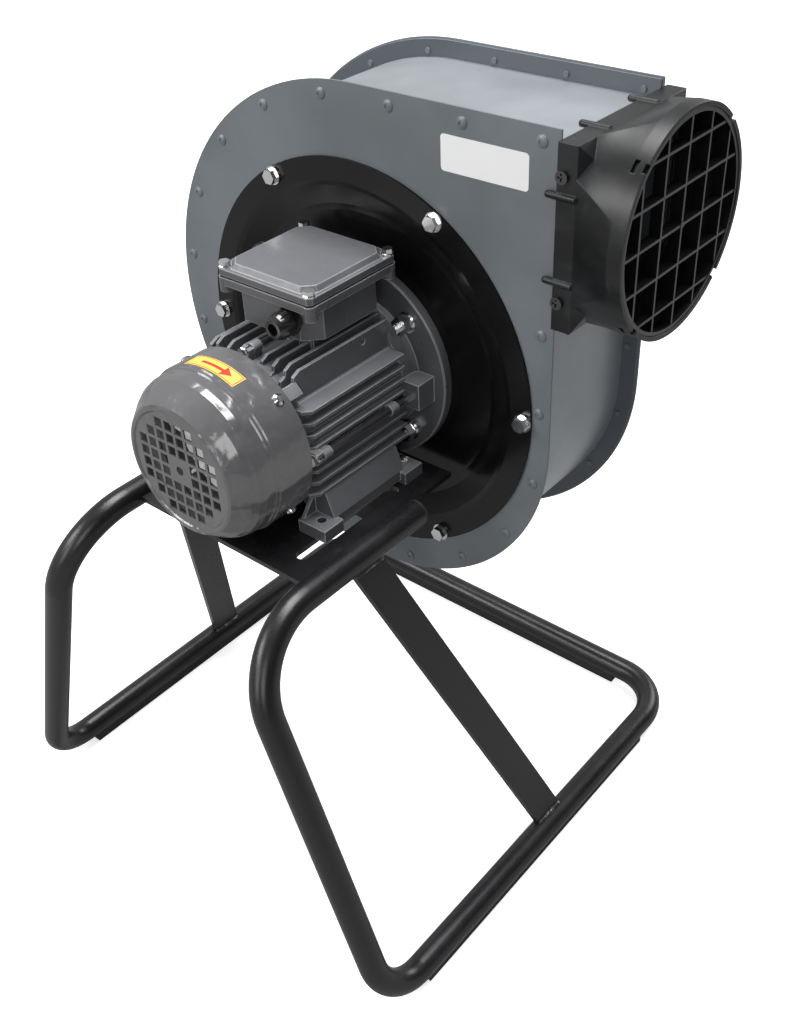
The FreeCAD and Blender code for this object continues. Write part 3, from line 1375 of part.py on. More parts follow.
def cut_corner_square(half, cut, centre_y):
    """Corner points of a square with cut corners, seen from above."""
    return [
        (-half, centre_y - half + cut),
        (-half + cut, centre_y - half),
        (half - cut, centre_y - half),
        (half, centre_y - half + cut),
        (half, centre_y + half - cut),
        (half - cut, centre_y + half),
        (-half + cut, centre_y + half),
        (-half, centre_y + half - cut),
    ]


def lid_screw_places():
    """The four corners where the lid is screwed down."""
    half = LID_SCREW_SPREAD / 2.0
    places = []
    for sign_x in (-1.0, 1.0):
        for sign_y in (-1.0, 1.0):
            places.append((sign_x * half, BOX_CENTRE_Y + sign_y * half))
    return places


def box_hollow(z0, z1):
    """The room inside the terminal box between two heights."""
    outline = cut_corner_square(BOX_HALF_WIDTH - BOX_WALL, BOX_CORNER_CUT, BOX_CENTRE_Y)
    return plate_xy(outline, z0, z1)


def terminal_box_base():
    """The lower half of the terminal box, with its screw columns."""
    half = BOX_HALF_WIDTH
    centre = BOX_CENTRE_Y
    shell = plate_xy(cut_corner_square(half, BOX_CORNER_CUT, centre), BOX_FLOOR_Z, BOX_RIM_Z)
    rim = plate_xy(cut_corner_square(LID_HALF_WIDTH, 3.0, centre), BOX_RIM_Z, BOX_TOP_Z)
    inner = box_hollow(BOX_FLOOR_Z + BOX_WALL, BOX_TOP_Z + 1.0)
    columns = []
    for x, y in lid_screw_places():
        columns.append(rod_z(5.0, BOX_RIM_Z - 5.0, BOX_TOP_Z, x, y))
    body = shell.fuse([rim] + columns).cut(inner)
    cutters = [rod_z(2.05, BOX_RIM_Z - 8.0, BOX_TOP_Z + 1.0, x, y) for x, y in lid_screw_places()]
    front = centre - half
    cutters.append(rod_y(7.0, front - 2.0, front + BOX_WALL + 6.0, FRONT_GLAND_X, GLAND_Z))
    cutters.append(rod_x(7.0, -half - 2.0, -half + BOX_WALL + 6.0, SIDE_GLAND_Y, GLAND_Z))
    cutters.append(rod_z(8.0, BOX_FLOOR_Z - 1.0, BOX_FLOOR_Z + BOX_WALL + 1.0, 0.0, centre))
    return body.cut(cutters)


def terminal_box_gasket():
    """The flat seal under the lid."""
    z0 = BOX_TOP_Z
    z1 = BOX_TOP_Z + GASKET_THICKNESS
    seal = plate_xy(cut_corner_square(LID_HALF_WIDTH - 0.6, 3.0, BOX_CENTRE_Y), z0, z1)
    inner = box_hollow(z0 - 1.0, z1 + 1.0)
    holes = [rod_z(2.1, z0 - 1.0, z1 + 1.0, x, y) for x, y in lid_screw_places()]
    return seal.cut([inner] + holes)


def terminal_box_lid():
    """The lid with its raised, chamfered top."""
    z0 = BOX_TOP_Z + GASKET_THICKNESS
    z1 = z0 + LID_THICKNESS
    rim = plate_xy(cut_corner_square(LID_HALF_WIDTH, 3.0, BOX_CENTRE_Y), z0, z1)
    low = LID_RAISED_HALF
    high = LID_RAISED_HALF - 2.6
    wires = []
    for half, cut, z in ((low, 8.5, z1), (high, 7.5, z1 + LID_RAISE)):
        points = [Vector(x, y, z) for x, y in cut_corner_square(half, cut, BOX_CENTRE_Y)]
        wires.append(Part.makePolygon(points + points[:1]))
    raised = Part.makeLoft(wires, True, True)
    hollow = box_hollow(z0 - 1.0, z1)
    holes = [rod_z(2.1, z0 - 1.0, z1 + 1.0, x, y) for x, y in lid_screw_places()]
    return rim.fuse(raised).removeSplitter().cut([hollow] + holes)


def lid_screws():
    """Hexagon screws with a flange at the lid's corners."""
    top = BOX_TOP_Z + GASKET_THICKNESS + LID_THICKNESS
    solids = []
    for x, y in lid_screw_places():
        head = hexagon_y(7.0, 0.0, 3.4)
        head.rotate(Vector(0, 0, 0), Vector(1, 0, 0), 90.0)
        head.translate(Vector(x, y, top + 1.0))
        collar = rod_z(4.4, top, top + 1.0, x, y)
        shank = rod_z(2.0, BOX_RIM_Z - 6.0, top, x, y)
        solids.append(head.fuse([collar, shank]).removeSplitter())
    return group(solids)


def terminal_board():
    """The board with six studs inside the terminal box."""
    z0 = BOX_FLOOR_Z + BOX_WALL
    board = block(-20.0, 20.0, BOX_CENTRE_Y + 8.4, BOX_CENTRE_Y + 30.0, z0, z0 + 8.0)
    studs = []
    for column in (-12.0, 0.0, 12.0):
        for row in (13.5, 24.5):
            studs.append(rod_z(2.0, z0 + 7.0, z0 + 16.0, column, BOX_CENTRE_Y + row))
    return board.fuse(studs).removeSplitter()


def glands(make):
    """One short gland on the box's front and one long gland on its left side."""
    front = make(FRONT_GLAND_LENGTH)
    front.translate(Vector(FRONT_GLAND_X, BOX_CENTRE_Y - BOX_HALF_WIDTH, GLAND_Z))
    side = make(SIDE_GLAND_LENGTH)
    side.rotate(Vector(0, 0, 0), Vector(0, 0, 1), -90.0)
    side.translate(Vector(-BOX_HALF_WIDTH, SIDE_GLAND_Y, GLAND_Z))
    return group([front, side])


def gland_collar(length):
    """The depth of a gland's hexagon."""
    return 0.29 * length


def gland_bodies():
    """The glands' bodies with their hexagon and inner thread."""

    def body(length):
        collar = gland_collar(length)
        flange = hexagon_y(18.0, -collar, 0.0)
        neck = rod_y(GLAND_NECK_RADIUS, -collar - 3.5, -collar)
        tail = rod_y(7.0 - SEAT_GAP, 0.0, BOX_WALL + 4.0)
        return flange.fuse([neck, tail]).cut(rod_y(4.5, -60.0, 20.0))

    return glands(body)


def gland_nuts():
    """The glands' ribbed dome nuts."""

    def nut(length):
        r = GLAND_RADIUS
        start = -gland_collar(length) - SLIDE_GAP
        seat = start - 4.1
        shape = turned(
            [
                (4.5, -length),
                (r - 2.6, -length),
                (r - 0.8, -length + 3.0),
                (r, -length + 6.0),
                (r, start),
                (GLAND_NECK_RADIUS + SEAT_GAP, start),
                (GLAND_NECK_RADIUS + SEAT_GAP, seat),
                (4.5, seat),
            ]
        )
        groove = rod_y(0.9, -length - 1.0, start - 1.2, r + 0.3, 0.0)
        return shape.cut(turned_copies(groove, 12))

    return glands(nut)


def flange_studs():
    """Threaded studs that hold the motor's flange."""
    stud = rod_y(FLANGE_STUD_RADIUS, FLANGE_FRONT_Y - 17.0, COVER_DISH_DEPTH + 8.0, FLANGE_STUD_CIRCLE, 0.0)
    return group(turned_copies(stud, 4, 45.0))


def flange_nuts():
    """Nuts on both ends of the flange studs."""
    solids = []
    bore = rod_y(FLANGE_STUD_RADIUS + SEAT_GAP, -40.0, 40.0)
    front = FLANGE_FRONT_Y - 3.6
    for y0, y1 in ((front - 6.5, front), (COVER_DISH_DEPTH, COVER_DISH_DEPTH + 6.0)):
        nut = hexagon_y(13.0, y0, y1).cut(bore)
        nut.translate(Vector(FLANGE_STUD_CIRCLE, 0, 0))
        solids += turned_copies(nut, 4, 45.0)
    return group(solids)


def flange_washers():
    """A flat washer and a spring washer under each flange nut."""
    solids = []
    bore = rod_y(FLANGE_STUD_RADIUS + SEAT_GAP, -40.0, 40.0)
    front = FLANGE_FRONT_Y
    for radius, y0, y1 in ((8.4, front - 1.6, front), (7.2, front - 3.6, front - 1.6)):
        washer = rod_y(radius, y0, y1).cut(bore)
        washer.translate(Vector(FLANGE_STUD_CIRCLE, 0, 0))
        solids += turned_copies(washer, 4, 45.0)
    return group(solids)


def impeller_hub():
    """The hub that clamps the impeller to the shaft."""
    end = FLANGE_FACE_Y + SHAFT_END_LENGTH
    hub = turned(
        [
            (SHAFT_END_RADIUS + 0.02, COVER_DISH_DEPTH + 5.0),
            (HUB_RADIUS, COVER_DISH_DEPTH + 5.0),
            (HUB_RADIUS, IMPELLER_BACK_Y - 2.0),
            (34.0, IMPELLER_BACK_Y - 2.0),
            (34.0, IMPELLER_BACK_Y),
            (HUB_RADIUS, IMPELLER_BACK_Y),
            (HUB_RADIUS - 2.0, end),
            (SHAFT_END_RADIUS + 0.02, end),
        ]
    )
    half = KEY_WIDTH / 2.0 + 0.02
    height = SHAFT_END_RADIUS - 3.0 + KEY_HEIGHT + 0.1
    return hub.cut(block(-half, half, 0.0, end + 1.0, 0.0, height))


def impeller_back_plate():
    """The impeller's flat back disc."""
    y0 = IMPELLER_BACK_Y
    disc = tube_y(IMPELLER_RADIUS, HUB_RADIUS + 0.02, y0, y0 + 2.0)
    return disc.cut(ring_of_holes(2.1, 28.0, 4, y0 - 1.0, y0 + 3.0, 45.0))


def impeller_shroud():
    """The cone with the eye ring on the impeller's inlet side."""
    y_tip = IMPELLER_BACK_Y + 2.0 + BLADE_TIP_WIDTH
    y_root = IMPELLER_BACK_Y + 2.0 + BLADE_ROOT_WIDTH
    return turned(
        [
            (IMPELLER_RADIUS, y_tip),
            (IMPELLER_RADIUS, y_tip + 1.6),
            (IMPELLER_EYE_RADIUS + 3.5, y_root + 2.6),
            (IMPELLER_EYE_RADIUS + 1.6, y_root + 5.0),
            (IMPELLER_EYE_RADIUS + 1.6, y_root + 11.0),
            (IMPELLER_EYE_RADIUS, y_root + 11.0),
            (IMPELLER_EYE_RADIUS, y_root + 4.0),
            (IMPELLER_EYE_RADIUS + 2.0, y_root + 0.9),
        ]
    )


def impeller_blades():
    """Backward-curved blades between the back disc and the shroud."""
    y0 = IMPELLER_BACK_Y + 2.0
    mid = (IMPELLER_RADIUS + BLADE_INNER_RADIUS) / 2.0
    half_chord = (IMPELLER_RADIUS - BLADE_INNER_RADIUS) / 2.0 + 9.0
    centre = Vector(mid, y0, -math.sqrt(BLADE_ARC_RADIUS ** 2 - half_chord ** 2))
    outer = Part.makeCylinder(BLADE_ARC_RADIUS + BLADE_SHEET / 2.0, BLADE_ROOT_WIDTH + 20.0, centre, ALONG_Y)
    below = centre - Vector(0, 1, 0)
    inner = Part.makeCylinder(BLADE_ARC_RADIUS - BLADE_SHEET / 2.0, BLADE_ROOT_WIDTH + 22.0, below, ALONG_Y)
    sheet = outer.cut(inner)
    slope = (BLADE_ROOT_WIDTH - BLADE_TIP_WIDTH) / (IMPELLER_RADIUS - IMPELLER_EYE_RADIUS - 2.0)
    inner_width = BLADE_ROOT_WIDTH + slope * (IMPELLER_EYE_RADIUS + 2.0 - BLADE_INNER_RADIUS) - 1.2
    envelope = turned(
        [
            (BLADE_INNER_RADIUS, y0),
            (IMPELLER_RADIUS - 0.5, y0),
            (IMPELLER_RADIUS - 0.5, y0 + BLADE_TIP_WIDTH - 0.1),
            (IMPELLER_EYE_RADIUS + 2.0, y0 + BLADE_ROOT_WIDTH - 1.2),
            (BLADE_INNER_RADIUS, y0 + inner_width - 6.0),
        ]
    )
    reach = BLADE_ARC_RADIUS / 2.0
    upper = block(mid - half_chord - 1.0, mid + half_chord + 1.0, y0, y0 + BLADE_ROOT_WIDTH, -reach, reach)
    blade = sheet.common(envelope).common(upper)
    blade = max(blade.Solids, key=lambda solid: solid.Volume)
    blade.rotate(Vector(mid, 0, 0), ALONG_Y, 38.0)
    blade = blade.common(envelope)
    blade = max(blade.Solids, key=lambda solid: solid.Volume)
    return group(turned_copies(blade, BLADE_COUNT))


def impeller_rivets():
    """Rivets between the hub's flange and the back disc."""
    y0 = IMPELLER_BACK_Y
    pin = rod_y(2.05, y0 - 2.0, y0 + 2.0).fuse([rod_y(3.6, y0 + 2.0, y0 + 3.4)]).removeSplitter()
    pin = pin.cut(rod_y(9.0, y0 - 3.0, y0))
    pin.translate(Vector(28.0, 0, 0))
    return group(turned_copies(pin, 4, 45.0))


def impeller_screw():
    """The end screw with its washer that keeps the hub on the shaft."""
    end = FLANGE_FACE_Y + SHAFT_END_LENGTH
    washer = rod_y(12.0, end, end + 2.5)
    head = hexagon_y(8.0, end + 2.5, end + 6.0)
    shank = rod_y(2.45, end - 12.0, end + 2.5)
    return washer.fuse([head, shank]).removeSplitter()


def bend(start, corner, end, radius):
    """An arc that rounds a corner, with the points where it begins and ends."""
    into = (corner - start).normalize()
    out = (end - corner).normalize()
    turn = into.getAngle(out)
    run = radius * math.tan(turn / 2.0)
    first = corner - into * run
    last = corner + out * run
    side = (out - into).normalize()
    centre = corner + side * (radius / math.cos(turn / 2.0))
    middle = centre - side * radius
    return Part.Arc(first, middle, last).toShape(), first, last


def bent_tube(points, radii):
    """A round tube swept along straight runs joined by bends."""
    edges = []
    here = points[0]
    for index, radius in enumerate(radii):
        arc, first, last = bend(points[index], points[index + 1], points[index + 2], radius)
        edges.append(Part.makeLine(here, first))
        edges.append(arc)
        here = last
    edges.append(Part.makeLine(here, points[-1]))
    spine = Part.Wire(edges)
    direction = points[1] - points[0]
    solids = []
    for size in (TUBE_RADIUS, TUBE_RADIUS - TUBE_WALL):
        ring = Part.Wire(Part.makeCircle(size, points[0], direction))
        solids.append(spine.makePipeShell([ring], True, True))
    return solids[0].cut(solids[1])


def hoop_points(side):
    """Corner points of one side hoop of the stand."""
    joint_y = REAR_TUBE_Y - REAR_BEND_RADIUS - 12.0
    return [
        Vector(side * TOP_TUBE_X, TOP_TUBE_END_Y, PLATE_TUBE_Z),
        Vector(side * TOP_TUBE_X, TUBE_FRONT_Y, PLATE_TUBE_Z),
        Vector(side * FLOOR_TUBE_X, TUBE_FRONT_Y, FLOOR_TUBE_Z),
        Vector(side * FLOOR_TUBE_X, joint_y, FLOOR_TUBE_Z),
    ]


def stand_hoop(side):
    """One side of the stand: top run, leg and floor run in one bent tube."""
    return bent_tube(hoop_points(side), [TOP_BEND_RADIUS, FRONT_BEND_RADIUS])


def stand_rear_tube():
    """The rear cross tube with a bend at both ends."""
    joint = hoop_points(1.0)[3]
    points = [
        joint,
        Vector(FLOOR_TUBE_X, REAR_TUBE_Y, FLOOR_TUBE_Z),
        Vector(-FLOOR_TUBE_X, REAR_TUBE_Y, FLOOR_TUBE_Z),
        Vector(-FLOOR_TUBE_X, joint.y, FLOOR_TUBE_Z),
    ]
    return bent_tube(points, [REAR_BEND_RADIUS, REAR_BEND_RADIUS])


def tube_end_plugs():
    """Plugs in the open rear ends of the two top runs."""
    solids = []
    for side in (-1.0, 1.0):
        x = side * TOP_TUBE_X
        cap = rod_y(TUBE_RADIUS, TOP_TUBE_END_Y, TOP_TUBE_END_Y + 2.0, x, PLATE_TUBE_Z)
        bore = TUBE_RADIUS - TUBE_WALL - SEAT_GAP
        stem = rod_y(bore, TOP_TUBE_END_Y - 10.0, TOP_TUBE_END_Y, x, PLATE_TUBE_Z)
        solids.append(cap.fuse(stem).removeSplitter())
    return group(solids)


def stand_brace(side):
    """The flat bar from a top run down to a floor run."""
    top = Vector(side * TOP_TUBE_X, BRACE_TOP_Y, PLATE_TUBE_Z)
    floor = Vector(side * FLOOR_TUBE_X, BRACE_FLOOR_Y, FLOOR_TUBE_Z)
    half = Vector(0, BRACE_WIDTH / 2.0, 0)
    corners = [top - half, top + half, floor + half, floor - half]
    face = Part.Face(Part.makePolygon(corners + corners[:1]))
    normal = (floor - top).cross(half).normalize()
    face.translate(normal * (-BRACE_THICKNESS / 2.0))
    bar = face.extrude(normal * BRACE_THICKNESS)
    runs = [
        rod_y(TUBE_RADIUS, TUBE_FRONT_Y, 100.0, side * TOP_TUBE_X, PLATE_TUBE_Z),
        rod_y(TUBE_RADIUS, TUBE_FRONT_Y, 100.0, side * FLOOR_TUBE_X, FLOOR_TUBE_Z),
    ]
    pieces = bar.cut(runs).Solids
    return max(pieces, key=lambda solid: solid.Volume)


def motor_plate():
    """The slotted plate between the top runs that the motor stands on."""
    half = TOP_TUBE_X - TUBE_RADIUS + 1.0
    top = -SHAFT_HEIGHT
    under = top - MOTOR_PLATE_SHEET
    plate = block(-half, half, MOTOR_PLATE_FRONT_Y, FLANGE_FRONT_Y - 1.0, under, top)
    cutters = []
    radius = SLOT_WIDTH / 2.0
    for side in (-1.0, 1.0):
        x = side * SLOT_CENTRE_X
        first = SLOT_FRONT_Y + radius
        last = SLOT_REAR_Y - radius
        cutters.append(block(x - radius, x + radius, first, last, under - 1.0, top + 1.0))
        cutters.append(rod_z(radius, under - 1.0, top + 1.0, x, first))
        cutters.append(rod_z(radius, under - 1.0, top + 1.0, x, last))
        bolt_x = side * FOOT_HOLE_SPREAD / 2.0
        cutters.append(rod_z(FOOT_HOLE_RADIUS, under - 1.0, top + 1.0, bolt_x, REAR_FOOT_HOLE_Y))
        tube_x = side * TOP_TUBE_X
        cutters.append(rod_y(TUBE_RADIUS, TUBE_FRONT_Y, TOP_TUBE_END_Y + 2.0, tube_x, PLATE_TUBE_Z))
    return plate.cut(cutters)


def floor_strip(x0, x1, y0, y1):
    """A rubber strip shaped to the underside of a floor tube."""
    return block(x0, x1, y0, y1, FLOOR_Z, FLOOR_TUBE_Z - TUBE_RADIUS + 3.0)


def side_floor_strips():
    """The strips below the two side runs."""
    half = STRIP_WIDTH / 2.0
    y0 = TUBE_FRONT_Y + FRONT_BEND_RADIUS + 4.0
    y1 = hoop_points(1.0)[3].y
    solids = []
    for side in (-1.0, 1.0):
        x = side * FLOOR_TUBE_X
        strip = floor_strip(x - half, x + half, y0, y1)
        solids.append(strip.cut(rod_y(TUBE_RADIUS, y0 - 1.0, y1 + 1.0, x, FLOOR_TUBE_Z)))
    return group(solids)


def rear_floor_strip():
    """The strip below the rear cross tube."""
    half = STRIP_WIDTH / 2.0
    reach = FLOOR_TUBE_X - REAR_BEND_RADIUS - 10.0
    strip = floor_strip(-reach, reach, REAR_TUBE_Y - half, REAR_TUBE_Y + half)
    return strip.cut(rod_x(TUBE_RADIUS, -reach - 1.0, reach + 1.0, REAR_TUBE_Y, FLOOR_TUBE_Z))


def build():
    """Every part by its name."""
    return {
        "stand_hoop_right": stand_hoop(1.0),
        "stand_hoop_left": stand_hoop(-1.0),
        "stand_rear_tube": stand_rear_tube(),
        "tube_end_plugs": tube_end_plugs(),
        "brace_right": stand_brace(1.0),
        "brace_left": stand_brace(-1.0),
        "motor_plate": motor_plate(),
        "side_floor_strips": side_floor_strips(),
        "rear_floor_strip": rear_floor_strip(),
        "front_side_plate": front_side_plate(),
        "rear_side_plate": rear_side_plate(),
        "scroll_wrap": scroll_wrap(),
        "cutoff_tongue": cutoff_tongue(),
        "housing_rivets": housing_rivets(),
        "motor_cover": motor_cover(),
        "cover_bolts": cover_bolts(),
        "cover_weld_nuts": cover_weld_nuts(),
        "inlet_ring": inlet_ring(),
        "inlet_nozzle": inlet_nozzle(),
        "inlet_screws": inlet_screws(),
        "outlet_collar": outlet_collar(),
        "outlet_adapter": outlet_adapter(),
        "adapter_screws": adapter_screws(),
        "outlet_grille": outlet_grille(),
        "rating_label": rating_label(),
        "motor_frame": motor_frame(),
        "motor_feet": motor_feet(),
        "foot_bolts": foot_bolts(),
        "foot_nuts": foot_nuts(),
        "drive_endshield": drive_endshield(),
        "fan_endshield": fan_endshield(),
        "tie_bolts": tie_bolts(),
        "stator_core": stator_core(),
        "stator_windings": stator_windings(),
        "rotor_core": rotor_core(),
        "motor_shaft": motor_shaft(),
        "shaft_key": shaft_key(),
        "bearing_outer_rings": bearing_outer_rings(),
        "bearing_inner_rings": bearing_inner_rings(),
        "bearing_ball_sets": bearing_ball_sets(),
        "cooling_fan": cooling_fan(),
        "fan_cowl": fan_cowl(),
        "cowl_screws": cowl_screws(),
        "direction_sticker": direction_sticker(),
        "terminal_box_base": terminal_box_base(),
        "terminal_box_gasket": terminal_box_gasket(),
        "terminal_box_lid": terminal_box_lid(),
        "lid_screws": lid_screws(),
        "terminal_board": terminal_board(),
        "gland_bodies": gland_bodies(),
        "gland_nuts": gland_nuts(),
        "flange_studs": flange_studs(),
        "flange_nuts": flange_nuts(),
        "flange_washers": flange_washers(),
        "impeller_hub": impeller_hub(),
        "impeller_back_plate": impeller_back_plate(),
        "impeller_blades": impeller_blades(),
        "impeller_shroud": impeller_shroud(),
        "impeller_rivets": impeller_rivets(),
        "impeller_screw": impeller_screw(),
    }


def main():
    """Write every part, moved so that the origin is on the floor."""
    parts = build()
    left = -FLOOR_TUBE_X - TUBE_RADIUS
    front = TUBE_FRONT_Y - TUBE_RADIUS
    rear = REAR_TUBE_Y + TUBE_RADIUS
    move = Vector(-(left + ADAPTER_RIM_X) / 2.0, -(front + rear) / 2.0, -FLOOR_Z)
    os.makedirs("parts", exist_ok=True)
    for name, shape in parts.items():
        shape.translate(move)
        shape.exportStep("parts/" + name + ".step")


main()
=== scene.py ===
"""Looks of a centrifugal exhaust fan on its bent tube stand.

Every solid of the fan comes from the frame. This script gives each one its
finish, adds the small details that stay out of the solids, and sets up the
floor, the light and the camera. Lengths are in metres.
"""
import logging
import math
from dataclasses import dataclass, field
from enum import Enum
from typing import Any, Dict, List, Optional, Sequence, Tuple, Union

import bmesh
import bpy
from mathutils import Matrix, Vector


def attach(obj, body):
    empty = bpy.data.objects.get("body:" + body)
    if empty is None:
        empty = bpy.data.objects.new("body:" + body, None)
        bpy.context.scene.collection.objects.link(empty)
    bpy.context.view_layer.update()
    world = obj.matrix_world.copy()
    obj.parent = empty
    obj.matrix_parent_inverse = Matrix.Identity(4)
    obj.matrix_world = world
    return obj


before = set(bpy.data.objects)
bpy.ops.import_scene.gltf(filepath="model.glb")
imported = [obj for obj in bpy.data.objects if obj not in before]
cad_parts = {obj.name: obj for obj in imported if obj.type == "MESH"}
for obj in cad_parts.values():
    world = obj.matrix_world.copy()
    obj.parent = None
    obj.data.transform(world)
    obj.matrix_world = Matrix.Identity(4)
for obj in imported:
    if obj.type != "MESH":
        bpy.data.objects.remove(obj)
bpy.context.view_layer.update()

LOG = logging.getLogger("exhaust_fan")

Colour = Tuple[float, float, float]

# The motor axis runs along Y through this x and z, and the housing's motor side is at this y
AXIS_X = -0.00675
AXIS_Z = 0.3925
HOUSING_Y = 0.0295
MM = 0.001

# The darkened part of the tie bolts' shanks, along Y: painted shade where they lie hidden among the fins
TIE_SHANK_FROM = HOUSING_Y - 0.118
TIE_SHANK_TO = HOUSING_Y - 0.022

# How many rays look for an edge, and how high a paint's orange peel of strength 1 stands, in metres
BEVEL_SAMPLES = 4
PEEL_HEIGHT = 0.0004

# The Mix node's colour sockets, by number, because their names repeat
MIX_FACTOR, MIX_FIRST, MIX_SECOND, MIX_RESULT = 0, 6, 7, 2


def at(x: float, y: float, z: float) -> Vector:
    """A point from millimetres off the motor axis and the housing's motor side.

    Args:
        x: Distance to the right of the motor axis.
        y: Distance behind the housing's motor side.
        z: Height above the motor axis.

    Returns:
        The point in the frame, in metres.
    """
    return Vector((AXIS_X + x * MM, HOUSING_Y + y * MM, AXIS_Z + z * MM))


def shade(red: int, green: int, blue: int) -> Colour:
    """A linear colour from the values a picture would show.

    Args:
        red: Red from 0 to 255.
        green: Green from 0 to 255.
        blue: Blue from 0 to 255.

    Returns:
        The linear colour.
    """

    def linear(value: int) -> float:
        """One part of the colour, made linear."""
        part = value / 255.0
        return part / 12.92 if part <= 0.04045 else ((part + 0.055) / 1.055) ** 2.4

    return (linear(red), linear(green), linear(blue))


def scaled(colour: Colour, factor: float, lift: float = 0.0) -> Colour:
    """A lighter or darker colour.

    Args:
        colour: The linear colour.
        factor: What each part is multiplied by.
        lift: What is added to each part.

    Returns:
        The new colour, at most 1 in each part.
    """
    return tuple(min(1.0, part * factor + lift) for part in colour)


class Value:
    """A number that varies over a surface, written as plain arithmetic."""

    def __init__(self, owner: "NodeTree", socket: bpy.types.NodeSocket) -> None:
        """Keeps the socket and the tree it belongs to.

        Args:
            owner: The tree being filled.
            socket: The output that carries the number.
        """
        self.owner = owner
        self.socket = socket

    def _maths(self, operation: str, *others: Any, swap: bool = False) -> "Value":
        """Adds one maths node.

        Args:
            operation: The maths node's operation.
            *others: The other operands.
            swap: Whether this value comes second.

        Returns:
            The result.
        """
        operands = list(others) + [self] if swap else [self] + list(others)
        inputs = dict(enumerate(operands))
        node = self.owner.node("ShaderNodeMath", {"operation": operation}, inputs)
        return Value(self.owner, node.outputs[0])

    def __add__(self, other: Any) -> "Value":
        """This plus other."""
        return self._maths("ADD", other)

    __radd__ = __add__

    def __mul__(self, other: Any) -> "Value":
        """This times other."""
        return self._maths("MULTIPLY", other)

    __rmul__ = __mul__

    def __sub__(self, other: Any) -> "Value":
        """This less other."""
        return self._maths("SUBTRACT", other)

    def __rsub__(self, other: Any) -> "Value":
        """Other less this."""
        return self._maths("SUBTRACT", other, swap=True)

    def __pow__(self, other: Any) -> "Value":
        """This to the power of other."""
        return self._maths("POWER", other)

    def __lt__(self, other: Any) -> "Value":
        """One where this is below other."""
        return self._maths("LESS_THAN", other)

    def __gt__(self, other: Any) -> "Value":
        """One where this is above other."""
        return self._maths("GREATER_THAN", other)

    def __abs__(self) -> "Value":
        """The size of this, without its sign."""
        return self._maths("ABSOLUTE")

    def most(self, other: Any) -> "Value":
        """The larger of this and other."""
        return self._maths("MAXIMUM", other)

    def wave(self) -> "Value":
        """The sine of this."""
        return self._maths("SINE")

    def angle_from(self, other: "Value") -> "Value":
        """The angle whose tangent is this over other."""
        return self._maths("ARCTAN2", other)

    def between(self, low: float, high: float) -> "Value":
        """This mapped smoothly from 0 at low to 1 at high.

        Args:
            low: Where the result is 0.
            high: Where the result is 1.

        Returns:
            The mapped value, clamped.
        """
        node = self.owner.node(
            "ShaderNodeMapRange",
            {"interpolation_type": "SMOOTHSTEP"},
            {"Value": self, "From Min": low, "From Max": high},
        )
        return Value(self.owner, node.outputs["Result"])


class NodeTree:
    """A tree of shader nodes, filled through one method."""

    def __init__(self, tree: bpy.types.NodeTree) -> None:
        """Empties the tree.

        Args:
            tree: The tree of a material or of the world.
        """
        self.tree = tree
        tree.nodes.clear()

    def node(
        self,
        kind: str,
        settings: Optional[Dict[str, Any]] = None,
        inputs: Optional[Dict[Union[str, int], Any]] = None,
    ) -> bpy.types.Node:
        """Adds a node, sets it and then fills its sockets.

        Args:
            kind: The node's type.
            settings: Attributes of the node.
            inputs: Socket names or numbers, with a value, a Value or an output.

        Returns:
            The new node.
        """
        node = self.tree.nodes.new(kind)
        for key, value in (settings or {}).items():
            setattr(node, key, value)
        for key, value in (inputs or {}).items():
            self.feed(node.inputs[key], value)
        return node

    def feed(self, socket: bpy.types.NodeSocket, value: Any) -> None:
        """Gives a socket a constant or a link.

        Args:
            socket: The input to fill.
            value: A number, colour, vector, Value or output.
        """
        if isinstance(value, Value):
            self.tree.links.new(value.socket, socket)
        elif isinstance(value, bpy.types.NodeSocket):
            self.tree.links.new(value, socket)
        elif isinstance(value, (tuple, list)) and socket.type == "RGBA" and len(value) == 3:
            socket.default_value = (*value, 1.0)
        else:
            socket.default_value = value


